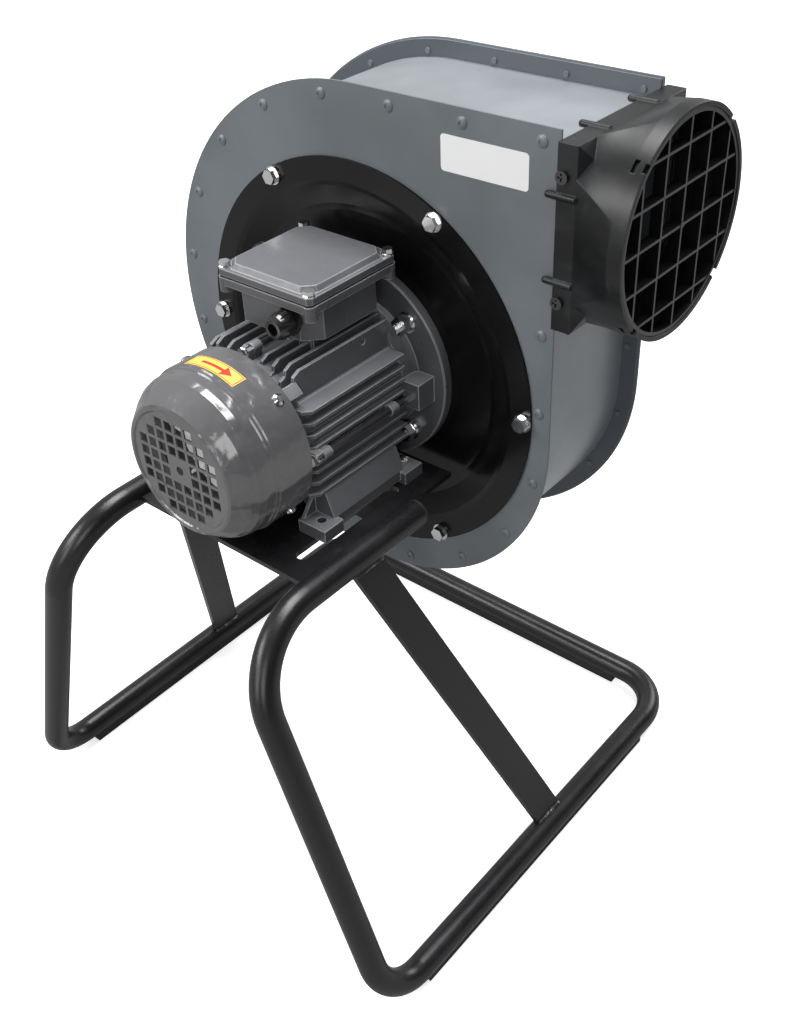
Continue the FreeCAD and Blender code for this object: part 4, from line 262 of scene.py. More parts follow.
class Paint(NodeTree):
    """A material under construction, with one Principled shader."""

    def __init__(self, name: str) -> None:
        """Starts an empty material.

        Args:
            name: The material's name.
        """
        self.material = bpy.data.materials.new(name)
        self.material.use_nodes = True
        super().__init__(self.material.node_tree)
        self.shader = self.node("ShaderNodeBsdfPrincipled")
        surface = {"Surface": self.shader.outputs["BSDF"]}
        self.output = self.node("ShaderNodeOutputMaterial", None, surface)
        self._place: Optional[bpy.types.Node] = None

    def place(self) -> bpy.types.NodeSocket:
        """The point on the object, in its own coordinates.

        Returns:
            The coordinates, from one node for the whole material.
        """
        if self._place is None:
            self._place = self.node("ShaderNodeTexCoord")
        return self._place.outputs["Object"]

    def along(self, axis: str) -> Value:
        """One coordinate of the point on the object.

        Args:
            axis: X, Y or Z.

        Returns:
            The coordinate in metres.
        """
        split = self.node("ShaderNodeSeparateXYZ", None, {"Vector": self.place()})
        return Value(self, split.outputs[axis])

    def facing(self, axis: str) -> Value:
        """How far the surface faces along an axis, from -1 to 1.

        Args:
            axis: X, Y or Z.

        Returns:
            That part of the surface's normal.
        """
        geometry = self.node("ShaderNodeNewGeometry")
        split = self.node("ShaderNodeSeparateXYZ", None, {"Vector": geometry.outputs["Normal"]})
        return Value(self, split.outputs[axis])

    def stretched(self, scale: Sequence[float]) -> bpy.types.NodeSocket:
        """The place on the object, stretched for a drawn-out pattern.

        Args:
            scale: Factors along X, Y and Z.

        Returns:
            The stretched coordinates.
        """
        inputs = {"Vector": self.place(), "Scale": tuple(scale)}
        return self.node("ShaderNodeMapping", None, inputs).outputs["Vector"]

    def noise(
        self,
        scale: float,
        detail: float = 3.0,
        roughness: float = 0.5,
        vector: Optional[bpy.types.NodeSocket] = None,
    ) -> Value:
        """Cloudy noise over the object.

        Args:
            scale: Cells per metre.
            detail: Octaves.
            roughness: Strength of the finer octaves.
            vector: Coordinates to use in place of the object's.

        Returns:
            The noise, about 0.5.
        """
        inputs = {"Vector": vector or self.place(), "Scale": scale, "Detail": detail, "Roughness": roughness}
        node = self.node("ShaderNodeTexNoise", None, inputs)
        return Value(self, node.outputs["Fac"])

    def cells(self, scale: float) -> Value:
        """How far the nearest cell's middle is, in a cell pattern.

        Args:
            scale: Cells per metre.

        Returns:
            The distance.
        """
        inputs = {"Vector": self.place(), "Scale": scale}
        return Value(self, self.node("ShaderNodeTexVoronoi", None, inputs).outputs["Distance"])

    def mix(self, mask: Any, first: Any, second: Any) -> bpy.types.NodeSocket:
        """Two colours mixed.

        Args:
            mask: How much of the second, from 0 to 1.
            first: The colour where the mask is 0.
            second: The colour where the mask is 1.

        Returns:
            The mixed colour.
        """
        inputs = {MIX_FACTOR: mask, MIX_FIRST: first, MIX_SECOND: second}
        return self.node("ShaderNodeMix", {"data_type": "RGBA"}, inputs).outputs[MIX_RESULT]

    def edges(self, radius: float) -> Value:
        """How close the surface is to a sharp edge.

        Args:
            radius: How far the edge reaches, in metres.

        Returns:
            One at an edge and 0 away from it.
        """
        soft = self.node("ShaderNodeBevel", {"samples": BEVEL_SAMPLES}, {"Radius": radius})
        plain = self.node("ShaderNodeNewGeometry")
        normals = {0: soft.outputs["Normal"], 1: plain.outputs["Normal"]}
        likeness = self.node("ShaderNodeVectorMath", {"operation": "DOT_PRODUCT"}, normals)
        return (1.0 - Value(self, likeness.outputs["Value"])).between(0.01, 0.16)

    def bump(self, height: Value, strength: float, distance: float, edge: float = 0.0) -> None:
        """Feeds the shader's normal from a height.

        Args:
            height: The height over the surface.
            strength: How strongly it shows.
            distance: How deep it is, in metres.
            edge: How far the sharp edges look rounded, in metres.
        """
        inputs = {"Strength": strength, "Distance": distance, "Height": height}
        node = self.node("ShaderNodeBump", None, inputs)
        if edge > 0.0:
            soft = self.node("ShaderNodeBevel", {"samples": BEVEL_SAMPLES}, {"Radius": edge})
            self.feed(node.inputs["Normal"], soft.outputs["Normal"])
        self.feed(self.shader.inputs["Normal"], node.outputs["Normal"])

    def set(self, **sockets: Any) -> None:
        """Sets the shader's sockets by their names, with _ for a space."""
        for name, value in sockets.items():
            self.feed(self.shader.inputs[name.replace("_", " ")], value)


class Recipe:
    """How one kind of finish is mixed."""

    def fill(self, paint: Paint) -> None:
        """Fills an empty material; each kind of finish has its own way.

        Args:
            paint: The material to fill.
        """
        raise NotImplementedError

    def make(self, name: str) -> bpy.types.Material:
        """Mixes the finish.

        Args:
            name: The material's name.

        Returns:
            The material.
        """
        paint = Paint(name)
        self.fill(paint)
        return paint.material


@dataclass(frozen=True)
class Coating(Recipe):
    """Sprayed or powder-coated paint on metal."""

    colour: Colour
    roughness: float = 0.42
    peel: float = 0.10
    peel_scale: float = 900.0
    grain: float = 0.06
    mottle: float = 0.10
    dust: float = 0.12
    dust_colour: Colour = (0.25, 0.25, 0.245)
    metallic: float = 0.0
    edge: float = 0.0
    painted_edge_highlight: float = 0.0
    ior: float = 1.5
    waves: float = 0.0
    waves_scale: float = 75.0
    painted_lip_shade: Optional[Colour] = None
    painted_top_light: float = 0.0
    cloud_scale: float = 9.0
    speck_scale: float = 2600.0
    dust_scale: float = 38.0
    mottle_lift: float = 2.2
    top_lift: float = 2.4
    edge_lift: float = 5.5
    cloud_roughness: float = 0.12
    dust_roughness: float = 0.18

    def fill(self, paint: Paint) -> None:
        """Builds the paint.

        Args:
            paint: The material to fill.
        """
        clouds = paint.noise(self.cloud_scale, 4.0)
        darker = scaled(self.colour, 1.0 - self.mottle)
        lighter = scaled(self.colour, 1.0 + self.mottle_lift * self.mottle)
        body = paint.mix(clouds.between(0.32, 0.68), darker, lighter)
        specks = paint.noise(self.speck_scale, 2.0, 0.6).between(0.62, 0.8)
        body = paint.mix(specks * self.grain * 4.0, body, scaled(self.colour, 2.0, 0.02))
        patches = paint.noise(self.dust_scale, 5.0, 0.65).between(0.42, 0.75)
        settled = paint.facing("Z").between(0.45, 1.0) * patches
        body = paint.mix(settled * self.dust, body, self.dust_colour)
        rough = self.roughness + (clouds - 0.5) * self.cloud_roughness
        rough = rough + settled * self.dust_roughness * self.dust
        metallic: Any = self.metallic
        # Painted shade: faces turned along Y, the wrap's lips, take a darker grey for the shade they lie in.
        if self.painted_lip_shade is not None:
            lip_shade_mask = abs(paint.facing("Y")).between(0.6, 0.85)
            body = paint.mix(lip_shade_mask, body, self.painted_lip_shade)
            metallic = (1.0 - lip_shade_mask) * self.metallic
        # Painted light: faces turned up are painted lighter, by top_lift, standing in for light from above.
        if self.painted_top_light > 0.0:
            top_highlight_mask = paint.facing("Z").between(0.1, 0.7) * self.painted_top_light
            body = paint.mix(top_highlight_mask, body, scaled(self.colour, self.top_lift))
        # Painted highlight: sharp edges are painted lighter, by edge_lift, standing in for the light they
        # catch.
        if self.painted_edge_highlight > 0.0:
            rubbed_and_edge_highlight = paint.edges(self.edge) * self.painted_edge_highlight
            body = paint.mix(rubbed_and_edge_highlight, body, scaled(self.colour, self.edge_lift, 0.06))
        relief = paint.noise(self.peel_scale, 2.0, 0.5) * (self.peel * PEEL_HEIGHT)
        if self.waves > 0.0:
            relief = relief + paint.noise(self.waves_scale, 1.0, 0.35) * self.waves
        paint.set(Base_Color=body, Roughness=rough, Metallic=metallic, IOR=self.ior)
        paint.bump(relief, 1.0, 1.0, self.edge)


@dataclass(frozen=True)
class BareMetal(Recipe):
    """Bright, plated or rolled metal."""

    colour: Colour
    tarnish: Colour
    roughness: float = 0.28
    brushed: Tuple[float, float, float] = (1.0, 1.0, 1.0)
    scale: float = 260.0
    spangle: float = 0.0
    amount: float = 0.35
    thread_pitch: float = 0.0
    shank_shade: Optional[Colour] = None
    shade_from: float = 0.0
    shade_to: float = 0.0
    stain_scale: float = 55.0
    flake_scale: float = 70.0
    streak_roughness: float = 0.22
    stain_roughness: float = 0.18

    def fill(self, paint: Paint) -> None:
        """Builds the metal.

        Args:
            paint: The material to fill.
        """
        streaks = paint.noise(self.scale, 4.0, 0.6, paint.stretched(self.brushed))
        stains = paint.noise(self.stain_scale, 4.0, 0.6)
        body = paint.mix(stains.between(0.45, 0.8) * self.amount, self.colour, self.tarnish)
        rough = self.roughness + (streaks - 0.5) * self.streak_roughness
        rough = rough + (stains - 0.5) * self.stain_roughness
        if self.spangle > 0.0:
            flakes = paint.cells(self.flake_scale).between(0.0, 0.7)
            body = paint.mix(flakes * self.spangle, body, self.tarnish)
        metallic: Any = 1.0
        # Painted shade: the shank among the fins is painted dark grey and not metallic.
        if self.shank_shade is not None:
            along = paint.along("Y")
            shaded_span = (along > self.shade_from) * (along < self.shade_to)
            body = paint.mix(shaded_span, body, self.shank_shade)
            metallic = 1.0 - shaded_span
        paint.set(Base_Color=body, Roughness=rough, Metallic=metallic)
        if self.thread_pitch > 0.0:
            turns = (paint.along("Y") * (2.0 * math.pi / self.thread_pitch)).wave()
            paint.bump(turns, 0.7, 0.0005)
        else:
            paint.bump(streaks, 0.12, 0.0003)


@dataclass(frozen=True)
class WornWeld(Recipe):
    """A painted weld bead with its crests rubbed down to the metal."""

    paint_colour: Colour
    metal: Colour
    wear: float = 0.5
    patch_scale: float = 160.0
    ripple_scale: float = 700.0

    def fill(self, paint: Paint) -> None:
        """Builds the weld's finish.

        Args:
            paint: The material to fill.
        """
        rubbed_and_edge_highlight = paint.noise(self.patch_scale, 5.0, 0.7).between(1.0 - self.wear, 1.12 - self.wear)
        body = paint.mix(rubbed_and_edge_highlight, self.paint_colour, self.metal)
        paint.set(Base_Color=body, Roughness=0.42 - rubbed_and_edge_highlight * 0.1, Metallic=rubbed_and_edge_highlight * 0.9)
        paint.bump(paint.noise(self.ripple_scale, 4.0, 0.6), 0.3, 0.0004)


@dataclass(frozen=True)
class Moulded(Recipe):
    """Moulded plastic or rubber with a fine grain."""

    colour: Colour
    roughness: float = 0.45
    grain_scale: float = 1500.0
    grain: float = 0.18
    scuff: float = 0.15
    scuff_colour: Colour = (0.12, 0.12, 0.12)
    flow_and_sheen_lift: float = 1.35
    edge: float = 0.0
    painted_edge_highlight: float = 0.0
    painted_wall_shade: Optional[Colour] = None
    glow: float = 0.0
    ior: float = 1.5
    flow_scale: float = 14.0
    rub_scale: float = 70.0
    edge_lift: float = 3.0

    def fill(self, paint: Paint) -> None:
        """Builds the plastic.

        Args:
            paint: The material to fill.
        """
        # Lighter clouds along the flow of the plastic; raised as far as on the adapter, they are a painted
        # sheen as well.
        flow_and_sheen = paint.noise(self.flow_scale, 3.0, 0.5, paint.stretched((1.0, 1.0, 2.6)))
        rubbed_and_edge_highlight = paint.noise(self.rub_scale, 6.0, 0.7).between(0.56, 0.78)
        lighter = scaled(self.colour, self.flow_and_sheen_lift, 0.002)
        body = paint.mix(flow_and_sheen.between(0.35, 0.7), self.colour, lighter)
        body = paint.mix(rubbed_and_edge_highlight * self.scuff, body, self.scuff_colour)
        # Painted shade: faces not turned along X, the walls of the grille's cells, take a near-black colour
        # for the shade inside the cells.
        if self.painted_wall_shade is not None:
            body = paint.mix(abs(paint.facing("X")).between(0.5, 0.9), self.painted_wall_shade, body)
        # Painted highlight: sharp edges are painted lighter, by edge_lift, standing in for the light they
        # catch.
        if self.painted_edge_highlight > 0.0:
            edge_highlight_mask = paint.edges(self.edge) * self.painted_edge_highlight
            body = paint.mix(edge_highlight_mask, body, scaled(self.colour, self.edge_lift, 0.03))
        rough = self.roughness + (flow_and_sheen - 0.5) * 0.16 + rubbed_and_edge_highlight * 0.12
        paint.set(Base_Color=body, Roughness=rough, IOR=self.ior)
        # Painted light: the plastic glows faintly, though it is no lamp.
        if self.glow > 0.0:
            paint.set(Emission_Color=body, Emission_Strength=self.glow)
        paint.bump(paint.noise(self.grain_scale, 3.0, 0.6), self.grain, 0.0003, self.edge)


@dataclass(frozen=True)
class DirectionFilm(Recipe):
    """Warm yellow film with a thin border and a red arrow round the cowl."""

    ground: Colour
    border: Colour
    arrow: Colour
    radius: float = 0.0645
    middle_y: float = HOUSING_Y - 0.148
    middle_angle: float = 87.0
    half_width: float = 0.0058
    half_length: float = 0.0228
    border_width: float = 0.0006
    shaft_middle: float = 0.0015
    shaft_half_length: float = 0.0105
    shaft_half_width: float = 0.0013
    head_base: float = -0.0085
    head_tip: float = -0.0165
    head_slope: float = 0.62

    def fill(self, paint: Paint) -> None:
        """Builds the film with its arrow.

        Args:
            paint: The material to fill.
        """
        across = paint.along("X") - AXIS_X
        up = paint.along("Z") - AXIS_Z
        turn = up.angle_from(across) * (180.0 / math.pi)
        side = abs(paint.along("Y") - self.middle_y)
        arc = (turn - self.middle_angle) * (self.radius * math.pi / 180.0)
        shaft = (side < self.shaft_half_width) * (abs(arc - self.shaft_middle) < self.shaft_half_length)
        pointed = side < (arc - self.head_tip) * self.head_slope
        head = (arc < self.head_base) * (arc > self.head_tip) * pointed
        within = (side < self.half_width) * (abs(arc) < self.half_length)
        by_side = side > self.half_width - self.border_width
        by_end = abs(arc) > self.half_length - self.border_width
        wear = paint.noise(120.0, 4.0, 0.6)
        ground = paint.mix(wear.between(0.3, 0.8) * 0.25, self.ground, scaled(self.ground, 0.8))
        body = paint.mix(by_side.most(by_end) * within, ground, self.border)
        body = paint.mix(shaft.most(head), body, self.arrow)
        paint.set(Base_Color=body, Roughness=0.3 + wear * 0.12)
        paint.bump(wear, 0.05, 0.0002)


@dataclass(frozen=True)
class LabelFilm(Recipe):
    """Plain white film, a little yellowed in places."""

    ground: Colour
    yellowing: Colour = (0.95, 0.94, 0.90)

    def fill(self, paint: Paint) -> None:
        """Builds the label.

        Args:
            paint: The material to fill.
        """
        wear = paint.noise(240.0, 4.0, 0.6)
        patches = paint.noise(30.0, 2.0).between(0.3, 0.8) * 0.35
        aged = tuple(part * factor for part, factor in zip(self.ground, self.yellowing))
        paint.set(Base_Color=paint.mix(patches, self.ground, aged), Roughness=0.34 + wear * 0.14)
        paint.bump(wear, 0.05, 0.0002)


class Finish(Enum):
    """The finishes of the fan, by their materials' names."""

    STAND = "stand_paint"
    HOUSING = "housing_paint"
    WRAP = "wrap_paint"
    COVER = "cover_paint"
    MOTOR = "motor_paint"
    BOX = "terminal_box_paint"
    COWL = "cowl_paint"
    RIVET = "painted_rivets"
    ADAPTER = "adapter_plastic"
    GRILLE = "grille_plastic"
    FAN = "fan_plastic"
    GLAND = "gland_plastic"
    RUBBER = "rubber"
    LABEL = "label_film"
    STICKER = "sticker_film"
    WELD = "stand_welds"
    ZINC = "zinc"
    TIE = "tie_bolt_zinc"
    STUD = "threaded_zinc"
    PHOSPHATE = "phosphated_screws"
    SHEET = "sheet_steel"
    BRIGHT = "bright_steel"
    COPPER = "copper"
    ROTOR = "rotor_metal"


@dataclass
class PaintShop:
    """Mixes each finish once and hands it out."""

    mixed: Dict[Finish, bpy.types.Material] = field(default_factory=dict)

    def paints(self) -> Dict[Finish, Recipe]:
        """The sprayed finishes.

        Returns:
            Finish to recipe.
        """
        sheet = shade(106, 112, 116)
        # The castings' sharp edges are painted lighter, a painted highlight.
        casting: Dict[str, Any] = {
            "colour": shade(83, 84, 87),
            "roughness": 0.28,
            "peel": 0.30,
            "peel_scale": 520.0,
            "dust": 0.06,
            "edge": 0.0014,
            "painted_edge_highlight": 1.0,
            "waves": 0.0005,
        }
        return {
            Finish.STAND: Coating(
                shade(25, 25, 27), 0.27, 0.20, 1500.0, dust=0.07, dust_colour=(0.16, 0.16, 0.17)
            ),
            Finish.HOUSING: Coating(sheet, 0.42, 0.16, 1300.0, dust=0.06),
            # The wrap's grey is lighter than the housing's, partly its own tone and partly a painted sheen
            # for its bright top; its lips are painted darker as shade.
            Finish.WRAP: Coating(
                shade(155, 160, 165), 0.34, 0.12, 1400.0, dust=0.02, metallic=0.45, painted_lip_shade=shade(88, 94, 100)
            ),
            Finish.COVER: Coating(shade(12, 12, 13), 0.22, 0.12, 1500.0, dust=0.01, ior=1.36),
            # The motor and its terminal box are painted lighter on top, as painted light from above.
            Finish.MOTOR: Coating(painted_top_light=0.9, **casting),
            Finish.BOX: Coating(painted_top_light=0.35, **casting),
            Finish.COWL: Coating(
                shade(90, 90, 92), 0.17, 0.25, 260.0, dust=0.03, ior=1.8, waves=0.0013, waves_scale=92.0
            ),
            Finish.RIVET: Coating(sheet, 0.32, 0.2, 1300.0, dust=0.05),
        }

    def plastics(self) -> Dict[Finish, Recipe]:
        """The moulded finishes.

        Returns:
            Finish to recipe.
        """
        return {
            # The adapter's lighter clouds are partly its mottled plastic and partly a painted sheen, and its
            # sharp edges are painted lighter as highlights.
            Finish.ADAPTER: Moulded(
                shade(19, 20, 21), 0.34, 1700.0, 0.10, 0.3, shade(82, 82, 84), flow_and_sheen_lift=3.0, edge=0.0012,
                painted_edge_highlight=0.8, ior=1.42,
            ),
            # The grille's bars are painted lighter than the adapter's plastic for the light they catch, and
            # their cell walls near-black as painted shade.
            Finish.GRILLE: Moulded(
                shade(60, 61, 63), 0.36, 1700.0, 0.10, 0.10, shade(74, 74, 76), painted_wall_shade=shade(14, 14, 15)
            ),
            # The cooling fan and its disc glow faintly, painted light so that they show bright through the
            # cowl's holes.
            Finish.FAN: Moulded(
                shade(206, 206, 203), 0.42, 1200.0, 0.12, 0.12, shade(180, 180, 178), flow_and_sheen_lift=1.05, glow=0.4
            ),
            Finish.GLAND: Moulded(shade(18, 18, 19), 0.20, 1400.0, 0.06, 0.05, ior=1.75),
            Finish.RUBBER: Moulded(shade(30, 30, 31), 0.62, 900.0, 0.2, 0.3),
        }

    def metals(self) -> Dict[Finish, Recipe]:
        """The bare and plated metals.

        Returns:
            Finish to recipe.
        """
        plate = (shade(226, 227, 228), shade(172, 172, 170))
        return {
            Finish.ZINC: BareMetal(*plate, 0.16, scale=420.0),
            Finish.TIE: BareMetal(
                *plate, 0.2, scale=420.0, shank_shade=shade(50, 50, 52), shade_from=TIE_SHANK_FROM,
                shade_to=TIE_SHANK_TO,
            ),
            Finish.STUD: BareMetal(*plate, 0.2, thread_pitch=0.00125),
            Finish.PHOSPHATE: BareMetal(shade(96, 96, 95), shade(66, 66, 65), 0.3, scale=420.0),
            Finish.SHEET: BareMetal(
                shade(178, 180, 182), shade(140, 142, 145), 0.36, (1.0, 8.0, 1.0), 180.0, 0.3
            ),
            Finish.BRIGHT: BareMetal(
                shade(198, 198, 200), shade(150, 148, 145), 0.18, (1.0, 12.0, 1.0), 300.0
            ),
            Finish.COPPER: BareMetal(shade(190, 104, 60), shade(110, 60, 36), 0.32, scale=600.0),
            Finish.ROTOR: BareMetal(
                shade(178, 179, 182), shade(130, 130, 132), 0.4, (1.0, 6.0, 1.0), 400.0
            ),
        }

    def recipes(self) -> Dict[Finish, Recipe]:
        """The recipe of each finish, with the films and the worn weld.

        Returns:
            Finish to recipe.
        """
        films = {
            Finish.LABEL: LabelFilm(shade(244, 245, 245)),
            Finish.STICKER: DirectionFilm(shade(255, 208, 96), shade(196, 52, 34), shade(224, 50, 30)),
            Finish.WELD: WornWeld(shade(40, 40, 42), shade(150, 150, 148)),
        }
        return {**self.paints(), **self.plastics(), **self.metals(), **films}

    def get(self, finish: Finish) -> bpy.types.Material:
        """The finish's material, mixed on first use.

        Args:
            finish: Which finish.

        Returns:
            The material.
        """
        if finish not in self.mixed:
            self.mixed[finish] = self.recipes()[finish].make(finish.value)
        return self.mixed[finish]

    def coat(self, node: str, finish: Finish) -> None:
        """Gives a solid of the frame its finish.

        Args:
            node: The solid's name.
            finish: The finish.
        """
        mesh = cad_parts[node].data
        mesh.materials.clear()
        mesh.materials.append(self.get(finish))


@dataclass
class SubAssembly:
    """A group of the fan's solids that is dressed together."""

    shop: PaintShop
    title: str = "part"
    body: str = "stand_and_housing"

    def finishes(self) -> Dict[str, Finish]:
        """Which finish each solid takes.

        Returns:
            Solid name to finish.
        """
        return {}

    def dress(self) -> List[bpy.types.Object]:
        """Paints the solids and adds the details.

        Returns:
            The new pieces.
        """
        for node, finish in self.finishes().items():
            self.shop.coat(node, finish)
        return self.build()

    def build(self) -> List[bpy.types.Object]:
        """Makes the details that stay out of the solids.

        Returns:
            The new pieces.
        """
        return []

    def piece(
        self,
        name: str,
        shape: bmesh.types.BMesh,
        finish: Finish,
        body: Optional[str] = None,
        smooth: bool = True,
    ) -> bpy.types.Object:
        """Turns a finished shape into a piece of the scene.

        Args:
            name: The piece's name.
            shape: The shape, in the frame's metres.
            finish: The piece's finish.
            body: The moving body it rides on, where that isn't the group's own.
            smooth: Whether its faces are shaded smooth.

        Returns:
            The piece.
        """
        bmesh.ops.recalc_face_normals(shape, faces=shape.faces)
        for face in shape.faces:
            face.smooth = smooth
        mesh = bpy.data.meshes.new(name)
        shape.to_mesh(mesh)
        shape.free()
        mesh.materials.append(self.shop.get(finish))
        made = bpy.data.objects.new(name, mesh)
        bpy.context.scene.collection.objects.link(made)
        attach(made, body or self.body)
        return made


@dataclass
class Stand(SubAssembly):
    """The bent tube stand with its braces and the motor's plate."""

    title: str = "stand"
    tube_radius: float = 10.5
    brace_top: Tuple[float, float, float] = (94.6, -118.0, -73.0)
    brace_floor: Tuple[float, float, float] = (203.0, -17.0, -376.0)
    brace_width: float = 30.0
    brace_thickness: float = 5.0
    bead_radius: float = 2.3
    bead_count: int = 10
    bead_segments: int = 14
    bead_rings: int = 8

    def weld_rows(self, side: float) -> List[Tuple[Vector, Vector]]:
        """Where the beads of one brace begin and end.

        Args:
            side: 1 for the right brace, -1 for the left one.

        Returns:
            Pairs of end points, in millimetres off the motor axis.
        """
        top = Vector((side * self.brace_top[0], self.brace_top[1], self.brace_top[2]))
        floor = Vector((side * self.brace_floor[0], self.brace_floor[1], self.brace_floor[2]))
        down = (floor - top).normalized()
        reach = self.tube_radius / math.hypot(down.x, down.z)
        half = Vector((0.0, self.brace_width / 2.0 - self.bead_radius, 0.0))
        face = down.cross(half).normalized() * (self.brace_thickness / 2.0)
        rows = []
        for middle in (top + down * reach, floor - down * reach):
            for side_face in (face, -face):
                rows.append((middle + side_face - half, middle + side_face + half))
        return rows

    def build(self) -> List[bpy.types.Object]:
        """Lays the weld beads where the braces meet the tubes.

        Returns:
            One piece for each brace.
        """
        pieces = []
        for title, side in (("right", 1.0), ("left", -1.0)):
            shape = bmesh.new()
            for start, end in self.weld_rows(side):
                for index in range(self.bead_count):
                    spot = start.lerp(end, index / (self.bead_count - 1))
                    bmesh.ops.create_uvsphere(
                        shape,
                        u_segments=self.bead_segments,
                        v_segments=self.bead_rings,
                        radius=self.bead_radius * MM,
                        matrix=Matrix.Translation(at(*spot)),
                    )
            pieces.append(self.piece("brace_welds_" + title, shape, Finish.WELD))
        return pieces

    def finishes(self) -> Dict[str, Finish]:
        """Which finish each solid takes.

        Returns:
            Solid name to finish.
        """
        tubes = ("stand_hoop_right", "stand_hoop_left", "stand_rear_tube")
        flats = ("brace_right", "brace_left", "motor_plate")
        chosen = {node: Finish.STAND for node in tubes + flats}
        for node in ("tube_end_plugs", "side_floor_strips", "rear_floor_strip"):
            chosen[node] = Finish.RUBBER
        return chosen


@dataclass
class Housing(SubAssembly):
    """The scroll housing with its cover, inlet and rivets."""

    title: str = "housing"

    def finishes(self) -> Dict[str, Finish]:
        """Which finish each solid takes.

        Returns:
            Solid name to finish.
        """
        return {
            "front_side_plate": Finish.HOUSING,
            "rear_side_plate": Finish.HOUSING,
            "scroll_wrap": Finish.WRAP,
            "cutoff_tongue": Finish.WRAP,
            "housing_rivets": Finish.RIVET,
            "motor_cover": Finish.COVER,
            "cover_bolts": Finish.ZINC,
            "cover_weld_nuts": Finish.ZINC,
            "inlet_ring": Finish.HOUSING,
            "inlet_nozzle": Finish.SHEET,
            "inlet_screws": Finish.ZINC,
            "rating_label": Finish.LABEL,
        }


@dataclass
class Outlet(SubAssembly):
    """The moulded outlet adapter with its grille."""

    title: str = "outlet"

    def finishes(self) -> Dict[str, Finish]:
        """Which finish each solid takes.

        Returns:
            Solid name to finish.
        """
        return {
            "outlet_collar": Finish.WRAP,
            "outlet_adapter": Finish.ADAPTER,
            "outlet_grille": Finish.GRILLE,
            "adapter_screws": Finish.PHOSPHATE,
        }


@dataclass
class Motor(SubAssembly):
    """The finned motor with its end shields, feet, cowl and inner parts."""

    title: str = "motor"
    fan_disc_inner: float = 25.0
    fan_disc_outer: float = 51.0
    fan_disc_front: float = -144.4
    fan_disc_rear: float = -143.2
    fan_disc_steps: int = 96

    def build(self) -> List[bpy.types.Object]:
        """Makes the thin disc behind the cooling fan's blades.

        Returns:
            The disc.
        """
        shape = bmesh.new()
        outline = (
            (self.fan_disc_inner, self.fan_disc_front),
            (self.fan_disc_outer, self.fan_disc_front),
            (self.fan_disc_outer, self.fan_disc_rear),
            (self.fan_disc_inner, self.fan_disc_rear),
        )
        corners = [shape.verts.new(at(reach, depth, 0.0)) for reach, depth in outline]
        sides = [shape.edges.new((corners[index - 1], corners[index])) for index in range(4)]
        bmesh.ops.spin(
            shape,
            geom=corners + sides,
            cent=at(0.0, 0.0, 0.0),
            axis=(0.0, 1.0, 0.0),
            angle=2.0 * math.pi,
            steps=self.fan_disc_steps,
            use_merge=True,
        )
        return [self.piece("cooling_fan_disc", shape, Finish.FAN, "rotor", smooth=False)]

    def finishes(self) -> Dict[str, Finish]:
        """Which finish each solid takes.

        Returns:
            Solid name to finish.
        """
        castings = ("motor_frame", "motor_feet", "drive_endshield", "fan_endshield")
        chosen = {node: Finish.MOTOR for node in castings}
        for node in ("foot_bolts", "foot_nuts", "cowl_screws", "flange_nuts", "flange_washers"):
            chosen[node] = Finish.ZINC
        chosen["tie_bolts"] = Finish.TIE
        chosen["flange_studs"] = Finish.STUD
        bearings = ("bearing_outer_rings", "bearing_inner_rings", "bearing_ball_sets")
        for node in ("motor_shaft", "shaft_key") + bearings:
            chosen[node] = Finish.BRIGHT
        chosen.update(
            {
                "stator_core": Finish.SHEET,
                "stator_windings": Finish.COPPER,
                "rotor_core": Finish.ROTOR,
                "cooling_fan": Finish.FAN,
                "fan_cowl": Finish.COWL,
                "direction_sticker": Finish.STICKER,
            }
        )
        return chosen


@dataclass
class TerminalBox(SubAssembly):
    """The terminal box on the motor with its two glands."""

    title: str = "terminal box"

    def finishes(self) -> Dict[str, Finish]:
        """Which finish each solid takes.

        Returns:
            Solid name to finish.
        """
        return {
            "terminal_box_base": Finish.BOX,
            "terminal_box_lid": Finish.BOX,
            "terminal_box_gasket": Finish.RUBBER,
            "lid_screws": Finish.ZINC,
            "terminal_board": Finish.GLAND,
            "gland_bodies": Finish.GLAND,
            "gland_nuts": Finish.GLAND,
        }


@dataclass
class Impeller(SubAssembly):
    """The shrouded wheel inside the housing."""

    title: str = "impeller"

    def finishes(self) -> Dict[str, Finish]:
        """Which finish each solid takes.

        Returns:
            Solid name to finish.
        """
        return {
            "impeller_hub": Finish.BRIGHT,
            "impeller_back_plate": Finish.SHEET,
            "impeller_blades": Finish.SHEET,
            "impeller_shroud": Finish.SHEET,
            "impeller_rivets": Finish.ZINC,
            "impeller_screw": Finish.ZINC,
        }


@dataclass(frozen=True)
class Lamp:
    """A soft rectangular lamp: its place and size in metres, and its watts."""

    name: str
    place: Tuple[float, float, float]
    size: Tuple[float, float]
    power: float


